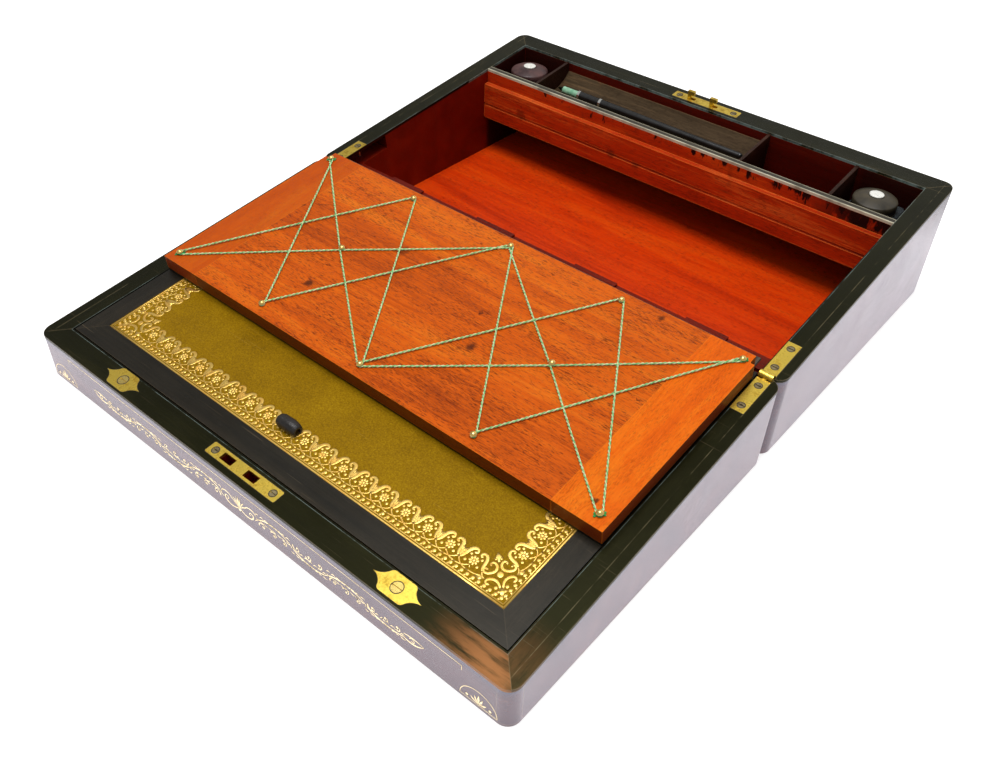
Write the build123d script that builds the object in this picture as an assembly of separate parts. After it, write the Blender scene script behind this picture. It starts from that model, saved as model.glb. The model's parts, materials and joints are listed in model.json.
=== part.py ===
from build123d import *
import math
import os

# Writing slope, standing open. The lid lies in front (-Y) and the main box behind (+Y). Millimetres, +Z up.
# The origin is on the floor, under the middle of the line where the two halves are hinged.
# "Slope" coordinates lie on the sloping plane through the hinge line: x along the line, s up the slope,
# n square to it. Both halves, open, share that one plane.

# Case
case_width = 400.0
half_depth = 247.0           # each half, hinge line to outer face
front_height = 32.0          # lid, at its front face
hinge_height = 61.0          # both halves, at the hinge line
wall = 16.0                  # wall with its veneer, also the width of the rim
veneer = 1.5
corner_radius = 8.0
post_size = 9.0              # corner post, square before rounding
facing = 2.0                 # dark facing on the rims, and the brass let into it
bottom_thickness = 7.0
fold_clearance = 0.25        # rims and flap faces stay this far off the hinge plane
heel_gap = 0.25              # each half stays this far off the hinge line

# Flaps
flap_thickness = 11.5
upper_flap_start = 22.3      # upper flap's near edge from the hinge line, opened out
border_thickness = 1.5
leather_thickness = 1.2
border_width = 15.5
flap_side_gap = 0.6
flap_edge_gap = 0.5          # flap edge to the hinge line
seat_gap = 0.3               # flap underside to what carries it
relief_gap = 0.3             # letter rack cord to the wall and bearer under it
bearer_width = 6.0
bearer_height = 10.0
front_bearer_width = 11.0
clamp_width = 33.0           # cross-grained ends of the upper flap
strip_thickness = 0.8        # leather strip that hinges the two flaps
strip_lap = 8.0              # how far the strip is glued onto each flap
strip_fit = 0.1
pivot_radius = 1.2           # end pivots of the lower flap
pivot_inset = 3.5            # pivot axis below the flap's face and in from its back edge
pivot_length = 6.5
pivot_fit = 0.06
pivot_end_gap = 0.3
flap_heel_round = 2.0        # lower back edge of the lower flap
notch_length = 7.0           # corner of the upper flap cut away beside the hinge knuckle
notch_depth = 3.0

# Letter rack
pin_head_radius = 2.2
pin_head_height = 1.5
pin_shank_radius = 0.8
pin_stand = 1.9              # board to underside of head
pin_sink = 6.0
pin_edge = 8.0               # pin rows to the flap's long edges
pin_end = 7.4                # outermost pins to the flap's ends
pin_inner = 90.0             # inner pins from the middle
pocket_room = 1.2            # round the heads, where they lie over the main box's wall
pocket_lip = 0.8
cord_radius = 0.6
cord_lift = 0.2              # board to the nearer cords
cord_step = 0.15             # the cords laid first and those over them, to their middle
cord_ring = 1.0              # height of the turn round each pin
cord_slack = 0.05            # pin to the cord turned round it

# Fascia and pen compartments
compartment_depth = 45.2     # back wall to fascia
fascia_thickness = 6.0
fascia_drop = 43.0           # top of fascia to its bottom edge
fascia_gap = 0.8             # upper flap's far edge to the upright fascia
ledge_width = 4.0
ledge_bead = 18.0            # ledge top to the groove along it
ledge_groove = 1.2
cap_width = 4.8
tray_floor_thickness = 4.0
partition_thickness = 2.4
left_room = 46.8             # clear width of the left inkwell's compartment
right_room = 49.8
trough_length = 193.0
partition_drop = 1.2         # partition tops below the rim
trough_edge_drop = 8.0
trough_drop = 17.5
trough_end_gap = 0.3

# Inkwells
bottle_side = 37.0
bottle_height = 27.0
bottle_wall = 4.5
bottle_round = 4.0
neck_radius = 10.5
neck_height = 6.0
neck_bore_radius = 7.5
cap_radius = 16.0
cap_skirt = 7.0
cap_dome = 5.0
cap_wall_fit = 0.3
cap_step = 0.4               # cap underside above the bottle's shoulder
disc_radius = 5.6
disc_thickness = 1.0
disc_proud = 0.3

# Dip pen
pen_length = 178.0
pen_start = 5.1              # nib tip from the trough's left end
holder_radius = 3.7
holder_end_radius = 2.3
ferrule_length = 16.0
ferrule_radius = 2.9
nib_length = 6.0
nib_root_radius = 2.3
nib_tip_radius = 0.4
band_length = 2.2
band_depth = 0.8
band_proud = 0.3
band_place = 22.0            # second band, from the first
pen_rest_gap = 0.3

# Strap hinges
leaf_width = 9.0
leaf_length = 31.0
leaf_start = 3.4             # hinge line to the leaf's root
leaf_inset = 0.5             # leaf edge from the rim's inner edge
barrel_radius = 2.6
barrel_fit = 0.4
knuckle_gap = 0.15
hinge_pin_radius = 1.0
hinge_pin_fit = 0.05
leaf_screw_places = (9.6, 29.0)

# Screws
screw_head_radius = 2.3
screw_shank_radius = 1.0
screw_length = 9.0
screw_slot = 0.7
cartouche_screw_head_radius = 3.5

# Lock, strike plate and cusped plates
plate_length = 60.0
plate_width = 8.4
plate_centre = -2.0
plate_screw_spread = 50.0
plate_edge = 8.5             # plate centre line from the outer face
plate_corner = 1.0
hook_places = (-17.5, 3.0)
hook_stem = 3.0
hook_width = 2.6
hook_rise = 6.6
hook_nose = 3.0
hook_nose_height = 3.3
hook_travel = 3.5
hook_bar_height = 5.0
slot_length = 10.0
slot_width = 5.0
strike_pocket = 10.0         # depth of the pockets below the rim
strike_pocket_width = 7.0
lock_depth = 20.0
lock_thickness = 6.0
lock_shell = 1.0
lock_end = 2.0               # plate end to lock case
lock_fit = 0.3
cartouche_place = 118.0
cartouche_reach = 16.8
cartouche_half_width = 6.8
cartouche_ear = 6.0          # length of each straight side, from its middle
cartouche_cusp = (9.4, 4.5)  # where the ears meet the points, along and across
cartouche_ear_bulge = (8.4, 6.1)
cartouche_point_hollow = (11.8, 1.9)
escutcheon_height = 22.0
escutcheon_width = 13.0
escutcheon_round = 4.5
escutcheon_lift = 1.3        # keyhole above the escutcheon's middle
keyhole_radius = 1.9
keyhole_drop = 7.0
keyhole_depth = 12.0         # keyhole below the rim

# Pull loop
loop_x = -5.5
loop_edge = 12.5             # leather's front edge to the loop's middle
loop_length = 16.0
loop_radius = 4.3
loop_bore_radius = 3.1

# Worked out from the sizes above
slope_angle = math.degrees(math.atan2(hinge_height - front_height, half_depth))
slope_cos = math.cos(math.radians(slope_angle))
slope_tan = math.tan(math.radians(slope_angle))
slope = Location((0, 0, hinge_height), (slope_angle, 0, 0))
inner_x = case_width / 2 - wall
face_n = -fold_clearance                       # rims and writing faces
under_facing = face_n - facing
seat_n = face_n - flap_thickness - seat_gap    # tops of ledge and bearers
far_s = (half_depth - wall) / slope_cos        # inner edge of the far rims
flap_half_width = inner_x - flap_side_gap
back_y = half_depth - wall
compartment_y0 = back_y - compartment_depth
fascia_y = compartment_y0 - fascia_thickness
upper_near = upper_flap_start                  # the upper flap, opened out
upper_far = fascia_y / slope_cos - fascia_gap - (flap_thickness + fold_clearance) * slope_tan
pin_outer = flap_half_width - pin_end
pin_places = (-pin_outer, -pin_inner, 0.0, pin_inner, pin_outer)
turn_s = (upper_near - flap_edge_gap) / 2      # the line about which the upper flap turns
lower_front = -far_s + flap_side_gap
bearer_s1 = heel_gap + wall + front_bearer_width
pivot_s = -flap_edge_gap - pivot_inset
pivot_n = face_n - pivot_inset
plate_s = half_depth / slope_cos - plate_edge
tall = 4 * hinge_height                        # over the top of everything
huge = 4 * case_width


def block(x0, x1, y0, y1, z0, z1):
    """A box between two corners."""
    return Pos((x0 + x1) / 2, (y0 + y1) / 2, (z0 + z1) / 2) * Box(x1 - x0, y1 - y0, z1 - z0)


def sloped(x0, x1, s0, s1, n0, n1):
    """A box between two corners in slope coordinates."""
    return slope * block(x0, x1, s0, s1, n0, n1)


def below(level):
    """Everything under the plane at this height n."""
    return sloped(-huge, huge, -huge, huge, -huge, level)


def both(shape):
    """A piece and its mirror image across the middle."""
    return Compound([shape, shape.mirror(Plane.YZ)])


def place(shape, x, s, n):
    """A piece modelled at the origin, set down on the slope."""
    return slope * Pos(x, s, n) * shape


def save(shape, node):
    """Write one node."""
    export_step(shape, f"parts/{node}.step")


def half_block(sign, inset, z0, z1):
    """A block over the plan of one half, drawn in by an inset; sign is +1 for the main box, -1 for the lid."""
    near = sign * (heel_gap + inset)
    far = sign * (half_depth - inset)
    x = case_width / 2 - inset
    return block(-x, x, min(near, far), max(near, far), z0, z1)


def rounded_half(sign, z0, z1):
    """The outer block of one half, with its upright corners rounded."""
    solid = half_block(sign, 0, z0, z1)
    return fillet(solid.edges().filter_by(Axis.Z), corner_radius)


def screw(head_radius=screw_head_radius, slotted=True):
    """A countersunk wood screw, head face at the origin, pointing down."""
    head_height = head_radius - screw_shank_radius
    head = Pos(0, 0, -head_height / 2) * Cone(screw_shank_radius, head_radius, head_height)
    shank = Pos(0, 0, -screw_length / 2) * Cylinder(screw_shank_radius, screw_length)
    solid = head + shank
    if slotted:
        solid -= Box(3 * head_radius, screw_slot, 2 * screw_slot)
    return solid


os.makedirs("parts", exist_ok=True)


# Strap hinges, one on each side rim
leaf_x0 = inner_x + leaf_inset
leaf_x1 = leaf_x0 + leaf_width
barrel_space = slope * Pos((leaf_x0 + leaf_x1) / 2, 0, 0) * (
    Rot(0, 90, 0) * Cylinder(barrel_radius + barrel_fit, leaf_width + 2 * barrel_fit))


def leaf_space(sign):
    """Room for one leaf in the rim facing."""
    near, far = sorted((sign * 0.0, sign * (leaf_start + leaf_length)))
    return sloped(leaf_x0, leaf_x1, near, far, under_facing, face_n + 1)


def hinge_screws(sign, slotted=True):
    """The two screws of one leaf."""
    x = (leaf_x0 + leaf_x1) / 2
    return [place(screw(slotted=slotted), x, sign * s, face_n) for s in leaf_screw_places]


def hinge_leaf(sign, knuckles):
    """One leaf with its knuckles, bored for the pin and the screws."""
    near, far = sorted((sign * leaf_start, sign * (leaf_start + leaf_length)))
    leaf = sloped(leaf_x0, leaf_x1, near, far, under_facing, face_n)
    pitch = leaf_width / 3
    for i in knuckles:
        x0 = leaf_x0 + i * pitch + (knuckle_gap / 2 if i else 0)
        x1 = leaf_x0 + (i + 1) * pitch - (knuckle_gap / 2 if i < 2 else 0)
        tongue_near, tongue_far = sorted((0.0, sign * (leaf_start + 1)))
        tongue = sloped(x0, x1, tongue_near, tongue_far, under_facing, face_n)
        barrel = slope * Pos((x0 + x1) / 2, 0, 0) * Rot(0, 90, 0) * Cylinder(barrel_radius, x1 - x0)
        leaf = leaf + tongue + barrel
    bore = slope * Pos((leaf_x0 + leaf_x1) / 2, 0, 0) * (
        Rot(0, 90, 0) * Cylinder(hinge_pin_radius + hinge_pin_fit, 2 * leaf_width))
    leaf -= bore
    for solid in hinge_screws(sign, slotted=False):
        leaf -= solid
    return leaf


hinge_pin = slope * Pos((leaf_x0 + leaf_x1) / 2, 0, 0) * (
    Rot(0, 90, 0) * Cylinder(hinge_pin_radius, leaf_width))
save(both(hinge_leaf(1, (0, 2))), "hinge_main_leaves")
save(both(hinge_leaf(-1, (1,))), "hinge_lid_leaves")
save(both(hinge_pin), "hinge_pins")
save(Compound([both(s) for s in hinge_screws(1)]), "hinge_main_screws")
save(Compound([both(s) for s in hinge_screws(-1)]), "hinge_lid_screws")


# Brass plates let into the far rims: lock selvedge, strike plate, cusped plates
def rim_plate(sign):
    """A long plate with round-cornered ends, flush in the far rim."""
    plate = block(-plate_length / 2, plate_length / 2, -plate_width / 2, plate_width / 2, -facing, 0)
    plate = fillet(plate.edges().filter_by(Axis.Z), plate_corner)
    return place(plate, plate_centre, sign * plate_s, face_n)


def plate_screws(sign, slotted=True):
    """The two screws of a long plate."""
    places = (plate_centre - plate_screw_spread / 2, plate_centre + plate_screw_spread / 2)
    return [place(screw(slotted=slotted), x, sign * plate_s, face_n) for x in places]


strike_plate = rim_plate(-1)
strike_pockets = []
for x in hook_places:
    middle = x + hook_nose / 2
    strike_plate -= sloped(middle - slot_length / 2, middle + slot_length / 2, -plate_s - slot_width / 2,
                           -plate_s + slot_width / 2, under_facing - 1, face_n + 1)
    strike_pockets.append(
        sloped(middle - slot_length / 2, middle + slot_length / 2 + hook_travel,
               -plate_s - strike_pocket_width / 2, -plate_s + strike_pocket_width / 2,
               face_n - strike_pocket, under_facing))
for solid in plate_screws(-1, slotted=False):
    strike_plate -= solid
save(strike_plate, "strike_plate")
save(Compound(plate_screws(-1)), "strike_screws")



def cartouche():
    """A cusped plate, pointed at both ends, its face at the origin."""
    point = (cartouche_reach, 0)
    ear = (cartouche_ear, cartouche_half_width)
    quarter = [
        ThreePointArc(point, cartouche_point_hollow, cartouche_cusp),
        ThreePointArc(cartouche_cusp, cartouche_ear_bulge, ear),
        Line(ear, (0, cartouche_half_width)),
    ]
    top = quarter + [edge.mirror(Plane.YZ) for edge in quarter]
    bottom = [edge.mirror(Plane.XZ) for edge in top]
    return extrude(make_face(Wire(top + bottom)), -facing)


cartouche_space = place(cartouche(), cartouche_place, -plate_s, face_n)
cartouche_screw_space = place(screw(cartouche_screw_head_radius, False), cartouche_place, -plate_s, face_n)
save(both(cartouche_space - cartouche_screw_space), "cartouche_plates")
save(both(place(screw(cartouche_screw_head_radius), cartouche_place, -plate_s, face_n)), "cartouche_screws")


# Lock in the back wall: a shell, its selvedge plate, and two hooks on one sliding bar
lock_x0 = plate_centre - plate_length / 2 + lock_end
lock_x1 = plate_centre + plate_length / 2 - lock_end
lock_s0 = plate_s - lock_thickness / 2
lock_s1 = plate_s + lock_thickness / 2
lock_n0 = under_facing - lock_depth
lock_space = sloped(lock_x0, lock_x1, lock_s0, lock_s1, lock_n0, under_facing)
lock_case = lock_space - sloped(lock_x0 + lock_shell, lock_x1 - lock_shell, lock_s0 + lock_shell,
                                lock_s1 - lock_shell, lock_n0 + lock_shell, under_facing)
keyhole_n = face_n - keyhole_depth


def keyhole(y0, y1):
    """A round hole with a narrow slot below it, through the back wall."""
    eye = slope * Pos(plate_centre, (y0 + y1) / 2, keyhole_n) * Rot(90, 0, 0) * Cylinder(keyhole_radius, y1 - y0)
    drop = sloped(plate_centre - keyhole_radius / 2, plate_centre + keyhole_radius / 2, y0, y1,
                  keyhole_n - keyhole_drop, keyhole_n)
    return eye + drop


keyhole_cut = keyhole(plate_s, half_depth / slope_cos + lock_thickness)
lock_case -= keyhole_cut
selvedge = rim_plate(1)
for x in hook_places:
    selvedge -= sloped(x - hook_stem / 2 - lock_fit, x + hook_stem / 2 + hook_travel + lock_fit,
                       plate_s - hook_width / 2 - lock_fit, plate_s + hook_width / 2 + lock_fit,
                       under_facing - 1, face_n + 1)
for solid in plate_screws(1, slotted=False):
    selvedge -= solid
    lock_case -= solid
bar_top = under_facing - lock_fit
bar = sloped(hook_places[0] - 2 * hook_stem, hook_places[1] + 2 * hook_stem, plate_s - hook_width / 2,
             plate_s + hook_width / 2, bar_top - hook_bar_height, bar_top)
hooks = bar
for x in hook_places:
    hooks += sloped(x - hook_stem / 2, x + hook_stem / 2, plate_s - hook_width / 2, plate_s + hook_width / 2,
                    bar_top - hook_bar_height, hook_rise)
    hooks += sloped(x - hook_stem / 2, x + hook_stem / 2 + hook_nose, plate_s - hook_width / 2,
                    plate_s + hook_width / 2, hook_rise - hook_nose_height, hook_rise)
save(lock_case, "lock_case")
save(selvedge, "lock_selvedge")
save(Compound(plate_screws(1)), "lock_selvedge_screws")
save(hooks, "lock_hooks")


# Shell of each half: carcass, corner posts, veneer between the posts, rim facing
def heel_space(sign, level):
    """The stretch over the hinge-side wall that the flaps lie in."""
    s0, s1 = sorted((-sign * wall, sign * (wall + flap_thickness)))
    return sloped(-inner_x, inner_x, s0, s1, level, tall)


def corner_blocks(sign, z0):
    """Square blocks at the four corners of a half, where the posts stand."""
    x = case_width / 2
    blocks = []
    for y in (sign * heel_gap, sign * (half_depth - post_size)):
        y0, y1 = sorted((y, y + sign * post_size))
        corner = block(x - post_size, x, y0, y1, z0, tall)
        blocks += [corner, corner.mirror(Plane.YZ)]
    return blocks


def corner_posts(sign, z0):
    """Four rounded posts under the rim facing."""
    rounded = rounded_half(sign, z0, tall) & below(under_facing)
    rounded = rounded - barrel_space - barrel_space.mirror(Plane.YZ)
    return Compound([rounded & corner for corner in corner_blocks(sign, z0)])


def side_veneer(sign, z0):
    """Veneer on the four outer faces, between the posts."""
    x = case_width / 2
    y0, y1 = sorted((sign * (heel_gap + post_size), sign * (half_depth - post_size)))
    near = sorted((sign * heel_gap, sign * (heel_gap + veneer)))
    far = sorted((sign * half_depth, sign * (half_depth - veneer)))
    side = block(x - veneer, x, y0, y1, z0, tall) & below(under_facing)
    heel_band = block(post_size - x, x - post_size, *near, z0, tall) & below(seat_n)
    heel_end = block(inner_x, x - post_size, *near, z0, tall) & below(under_facing)
    heel_end -= below(seat_n)
    far_face = block(post_size - x, x - post_size, *far, z0, tall) & below(under_facing)
    return [both(side), heel_band, both(heel_end - barrel_space)], far_face


def carcass(sign, z0):
    """The four walls, behind the veneer and between the posts."""
    walls = half_block(sign, veneer, z0, tall) & below(under_facing)
    near = sign * (heel_gap + wall)
    far = sign * (half_depth - wall)
    walls -= block(-inner_x, inner_x, min(near, far), max(near, far), z0, tall)
    walls -= heel_space(sign, seat_n)
    for corner in corner_blocks(sign, z0):
        walls -= corner
    return walls - barrel_space - barrel_space.mirror(Plane.YZ)


def rim_facing(sign):
    """Side and far strips, mitred together, with room for the strap hinges."""
    slab = rounded_half(sign, 0, tall) & below(face_n)
    slab -= below(under_facing)
    far = sign * half_depth
    inner = sign * (half_depth - wall)
    slab -= block(-inner_x, inner_x, min(-far, inner), max(-far, inner), 0, tall)
    x = case_width / 2
    far_plan = Polyline((-x, far), (x, far), (inner_x, inner), (-inner_x, inner), close=True)
    far_part = extrude(make_face(far_plan), tall) & slab
    side_part = slab - far_part
    space = leaf_space(sign)
    side_part = side_part - space - space.mirror(Plane.YZ) - barrel_space - barrel_space.mirror(Plane.YZ)
    return side_part, far_part


def pivot_rod(x0, x1, radius):
    """A round length on the lower flap's pivot axis."""
    return slope * Pos((x0 + x1) / 2, pivot_s, pivot_n) * Rot(0, 90, 0) * Cylinder(radius, x1 - x0)


def rack_room():
    """Room for the pins and cord of the letter rack, when the flap lies face down over the hinge-side wall."""
    row = flap_edge_gap + pin_edge
    pin_half = pin_head_radius + pocket_room
    underside = face_n - flap_thickness
    spread = pin_inner / ((upper_far - upper_near) / 2 - pin_edge)
    cord_half = spread * (bearer_s1 - row) + pin_half
    cord_bottom = underside - cord_lift - 2 * (cord_step + cord_radius) - relief_gap
    pin_bottom = underside - pin_stand - pin_head_height - pocket_room
    rooms = []
    for x in pin_places:
        rooms.append(sloped(x - cord_half, x + cord_half, row - pin_half, 2 * bearer_s1, cord_bottom, 0))
        rooms.append(sloped(x - pin_half, x + pin_half, row - pin_half, wall - pocket_lip, pin_bottom, 0))
    return rooms


# Main box
floor_z = bottom_thickness
fascia_top_z = hinge_height + fascia_y * slope_tan
tray_floor_z = fascia_top_z - fascia_drop
tray_floor_top = tray_floor_z + tray_floor_thickness

main_walls = carcass(1, 0) - lock_space
for screw_solid in plate_screws(1, slotted=False):
    main_walls -= screw_solid
for room in rack_room():
    main_walls -= room
for screw_solid in hinge_screws(1, slotted=False):
    main_walls = main_walls - screw_solid - screw_solid.mirror(Plane.YZ)
save(main_walls - keyhole_cut, "main_carcass")
save(block(-inner_x, inner_x, heel_gap + wall, back_y, 0, floor_z), "main_bottom")
save(corner_posts(1, 0), "main_corner_posts")
sheets, far_face = side_veneer(1, 0)
key_z = hinge_height + slope_tan * half_depth + keyhole_n / slope_cos
escutcheon_z = key_z - escutcheon_lift
escutcheon_blank = block(plate_centre - escutcheon_width / 2, plate_centre + escutcheon_width / 2,
                         half_depth - veneer, half_depth, escutcheon_z - escutcheon_height / 2,
                         escutcheon_z + escutcheon_height / 2)
escutcheon_blank = fillet(escutcheon_blank.edges().filter_by(Axis.Y), escutcheon_round)
save(escutcheon_blank - keyhole_cut, "escutcheon")
save(Compound(sheets + [far_face - escutcheon_blank - keyhole_cut]), "main_veneer")
side_strip, far_strip = rim_facing(1)
far_strip -= rim_plate(1)
save(Compound([side_strip, far_strip]), "main_rim_facing")
front_bearer = sloped(-inner_x, inner_x, 0, bearer_s1, seat_n - bearer_height, seat_n)
front_bearer &= block(-inner_x, inner_x, heel_gap + wall, half_depth, 0, tall)
for room in rack_room():
    front_bearer -= room
save(front_bearer, "main_front_bearer")


# Pen compartments behind the fascia
fascia_board = block(-inner_x, inner_x, fascia_y, compartment_y0, tray_floor_z, tall) & below(under_facing)
save(fascia_board, "fascia_board")
cap_strip = block(-inner_x, inner_x, fascia_y, fascia_y + cap_width, 0, tall) & below(face_n)
save(cap_strip - below(under_facing), "fascia_cap")
ledge_y0 = fascia_y - ledge_width
ledge = block(-inner_x, inner_x, ledge_y0, fascia_y, tray_floor_z, tall) & below(seat_n)
groove_z = hinge_height + ledge_y0 * slope_tan + seat_n - ledge_bead
groove = Pos(0, ledge_y0, groove_z) * Rot(0, 90, 0) * Cylinder(ledge_groove, case_width)
save(ledge - groove, "fascia_ledge")
save(block(-inner_x, inner_x, compartment_y0, back_y, tray_floor_z, tray_floor_top), "tray_floor")
left_partition = left_room + partition_thickness / 2 - inner_x
right_partition = inner_x - right_room - partition_thickness / 2
middle_partition = left_partition + partition_thickness + trough_length + 2 * trough_end_gap
partitions = []
for x in (left_partition, middle_partition, right_partition):
    partitions.append(block(x - partition_thickness / 2, x + partition_thickness / 2, compartment_y0, back_y,
                            tray_floor_top, tall) & below(face_n - partition_drop))
save(Compound(partitions), "compartment_partitions")

trough_x0 = left_partition + partition_thickness / 2 + trough_end_gap
trough_x1 = trough_x0 + trough_length
trough_y = (compartment_y0 + back_y) / 2
trough_half = (back_y - compartment_y0) / 2
trough_sag = trough_drop - trough_edge_drop
trough_curve = (trough_half ** 2 + trough_sag ** 2) / (2 * trough_sag)
trough_s = trough_y / slope_cos
trough = block(trough_x0, trough_x1, compartment_y0, back_y, tray_floor_top, tall)
trough &= below(face_n - trough_edge_drop)
trough_axis = slope * Pos((trough_x0 + trough_x1) / 2, trough_s, face_n - trough_drop + trough_curve)
trough -= trough_axis * (Rot(0, 90, 0) * Cylinder(trough_curve, case_width))
save(trough, "pen_trough")


# Lid
panel_z = bottom_thickness
save(rounded_half(-1, 0, veneer), "lid_panel_veneer")
lid_panel = half_block(-1, veneer, veneer, panel_z)
for corner in corner_blocks(-1, veneer):
    lid_panel -= corner
save(lid_panel, "lid_panel")
lid_walls = carcass(-1, panel_z)
for pocket in strike_pockets:
    lid_walls -= pocket
for screw_solid in plate_screws(-1, slotted=False):
    lid_walls -= screw_solid
lid_walls = lid_walls - cartouche_screw_space - cartouche_screw_space.mirror(Plane.YZ)
for screw_solid in hinge_screws(-1, slotted=False):
    lid_walls = lid_walls - screw_solid - screw_solid.mirror(Plane.YZ)
pivot_x0 = flap_half_width - pivot_length
pivot_x1 = inner_x + pivot_length
pivot_bore = pivot_rod(flap_half_width, pivot_x1 + pivot_end_gap, pivot_radius + pivot_fit)
lid_walls = lid_walls - pivot_bore - pivot_bore.mirror(Plane.YZ)
save(lid_walls, "lid_carcass")
save(corner_posts(-1, veneer), "lid_corner_posts")
sheets, far_face = side_veneer(-1, veneer)
save(Compound(sheets + [far_face]), "lid_veneer")
side_strip, far_strip = rim_facing(-1)
far_strip = far_strip - rim_plate(-1) - cartouche_space - cartouche_space.mirror(Plane.YZ)
save(Compound([side_strip, far_strip]), "lid_rim_facing")
lid_y0 = wall - half_depth
lid_y1 = -wall - heel_gap
side_bearer = sloped(inner_x - bearer_width, inner_x, -far_s - 1, 0, seat_n - bearer_height, seat_n)
side_bearer &= block(0, inner_x, lid_y0, lid_y1, panel_z, tall)
front_rest = sloped(-inner_x, inner_x, -far_s - 1, -far_s + bearer_width, seat_n - bearer_height, seat_n)
front_rest &= block(bearer_width - inner_x, inner_x - bearer_width, lid_y0, lid_y1, panel_z, tall)
save(Compound([both(side_bearer), front_rest]), "lid_bearers")


# Flaps: a board, a mitred dark border and a leather panel on the writing face
def flap_layers(s0, s1, low):
    """Board, border and leather of a flap lying face up at the origin plane, from low to 0."""
    board = block(-flap_half_width, flap_half_width, s0, s1, low, -border_thickness)
    x = flap_half_width - border_width
    border = block(-flap_half_width, flap_half_width, s0, s1, -border_thickness, 0)
    border -= block(-x, x, s0 + border_width, s1 - border_width, -border_thickness, 0)
    leather = block(-x, x, s0 + border_width, s1 - border_width, -border_thickness,
                    leather_thickness - border_thickness)
    return board, border, leather


def mitred(border, s0, s1):
    """The border's long strips cut from its end strips along the mitres."""
    x = flap_half_width
    b = border_width
    strips = []
    for near, inner in ((s0, s0 + b), (s1, s1 - b)):
        plan = Polyline((-x, near), (x, near), (x - b, inner), (b - x, inner), close=True)
        strips.append(border & Pos(0, 0, -2 * border_thickness) * extrude(make_face(plan), 4 * border_thickness))
    return Compound([border - strips[0] - strips[1]] + strips)


strip_half = flap_half_width - notch_depth - 1.0
heel_plane = block(-huge, huge, -huge, -flap_edge_gap, -huge, huge)


def strip_rebate(s0, s1):
    """Room for the hinge strip in a border's face."""
    half = strip_half + strip_fit
    return block(-half, half, s0, s1, -strip_thickness - strip_fit, border_thickness)


# Lower flap
board, border, leather = flap_layers(lower_front, -flap_edge_gap, -flap_thickness)
heel = board.edges().filter_by(Axis.X).group_by(Axis.Z)[0].sort_by(Axis.Y)[-1]
board = fillet(heel, flap_heel_round)
border = border - strip_rebate(-flap_edge_gap - strip_lap - strip_fit, flap_edge_gap)
border = mitred(border, lower_front, -flap_edge_gap)
pivot = pivot_rod(pivot_x0, pivot_x1, pivot_radius)
lower_board = (place(board, 0, 0, face_n) & heel_plane) - pivot - pivot.mirror(Plane.YZ)
save(lower_board, "lower_flap_board")
save(Compound([place(solid, 0, 0, face_n) & heel_plane for solid in border.solids()]), "lower_flap_border")
save(place(leather, 0, 0, face_n), "lower_flap_leather")
save(both(pivot), "lower_flap_pivots")

leather_n = face_n - border_thickness + leather_thickness
loop_s = lower_front + border_width + loop_edge
loop = Rot(0, 90, 0) * (Cylinder(loop_radius, loop_length) - Cylinder(loop_bore_radius, loop_length))
loop_flat = (loop_radius - loop_bore_radius) / 4
loop = place(loop, loop_x, loop_s, leather_n + loop_radius - loop_flat) - below(leather_n)
save(loop, "pull_loop")


# Upper flap, modelled opened out in its seat and then turned over onto the lower flap
def turned_over(shape):
    """Turn a shape half round the fold line of the leather strip."""
    return slope * Pos(0, turn_s, 0) * Rot(180, 0, 0) * Pos(0, -turn_s, 0) * shape


board, border, leather = flap_layers(upper_near, upper_far, -flap_thickness)
half = flap_half_width
corner_notch = block(half - notch_depth, half + 1, upper_near - 1, upper_near + notch_length, -huge, huge)
corner_notch = fillet(corner_notch.edges().filter_by(Axis.Z), notch_depth / 3)
notches = [corner_notch, corner_notch.mirror(Plane.YZ)]
border = border - strip_rebate(upper_near - 1, upper_near + strip_lap + strip_fit)
border = mitred(border, upper_near, upper_far)
clamp = board & block(half - clamp_width, half, -huge, huge, -huge, huge)
middle = board & block(clamp_width - half, half - clamp_width, -huge, huge, -huge, huge)
clamps = both(clamp - notches[0])

pin_rows = (upper_near + pin_edge, upper_far - pin_edge)
middle_row = (upper_near + upper_far) / 2
pins = {f"hinge_{i}": (x, pin_rows[0]) for i, x in enumerate(pin_places)}
pins |= {f"far_{i}": (x, pin_rows[1]) for i, x in enumerate(pin_places)}
pins |= {"left": (pin_places[1], middle_row), "right": (pin_places[3], middle_row)}


def dome(radius, height):
    """A low dome standing on the origin."""
    sphere_radius = (radius ** 2 + height ** 2) / (2 * height)
    return (Pos(0, 0, height - sphere_radius) * Sphere(sphere_radius)) & (
        Pos(0, 0, height / 2) * Cylinder(radius, height))


def rack_pin():
    """A domed brass pin, pointing up into the underside of the board, which is at height 0."""
    shank = Pos(0, 0, (pin_sink - pin_stand) / 2) * Cylinder(pin_shank_radius, pin_sink + pin_stand)
    head = Pos(0, 0, -pin_stand) * Rot(180, 0, 0) * dome(pin_head_radius, pin_head_height)
    return shank + head


pin_solids = [Pos(x, s, -flap_thickness) * rack_pin() for x, s in pins.values()]
pin_holes = [Pos(x, s, -flap_thickness) * Pos(0, 0, pin_sink / 2) * Cylinder(pin_shank_radius, pin_sink)
             for x, s in pins.values()]
for hole in pin_holes:
    middle -= hole
    clamps -= hole


# Cord of the letter rack: straight runs between the pins, a turn round each pin, in two layers
first_laid = (
    ("hinge_0", "left"), ("left", "far_2"), ("far_0", "left"), ("left", "hinge_2"),
    ("hinge_2", "right"), ("right", "far_4"), ("far_2", "right"), ("right", "hinge_4"),
)
laid_over = (
    ("hinge_0", "far_1"), ("far_1", "hinge_2"), ("far_0", "hinge_1"), ("hinge_1", "far_2"),
    ("hinge_2", "far_3"), ("far_3", "hinge_4"), ("far_2", "hinge_3"), ("hinge_3", "far_4"),
)
cord_n = -flap_thickness - cord_lift - cord_radius - cord_step
turn_radius = pin_shank_radius + cord_slack + cord_radius


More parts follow.
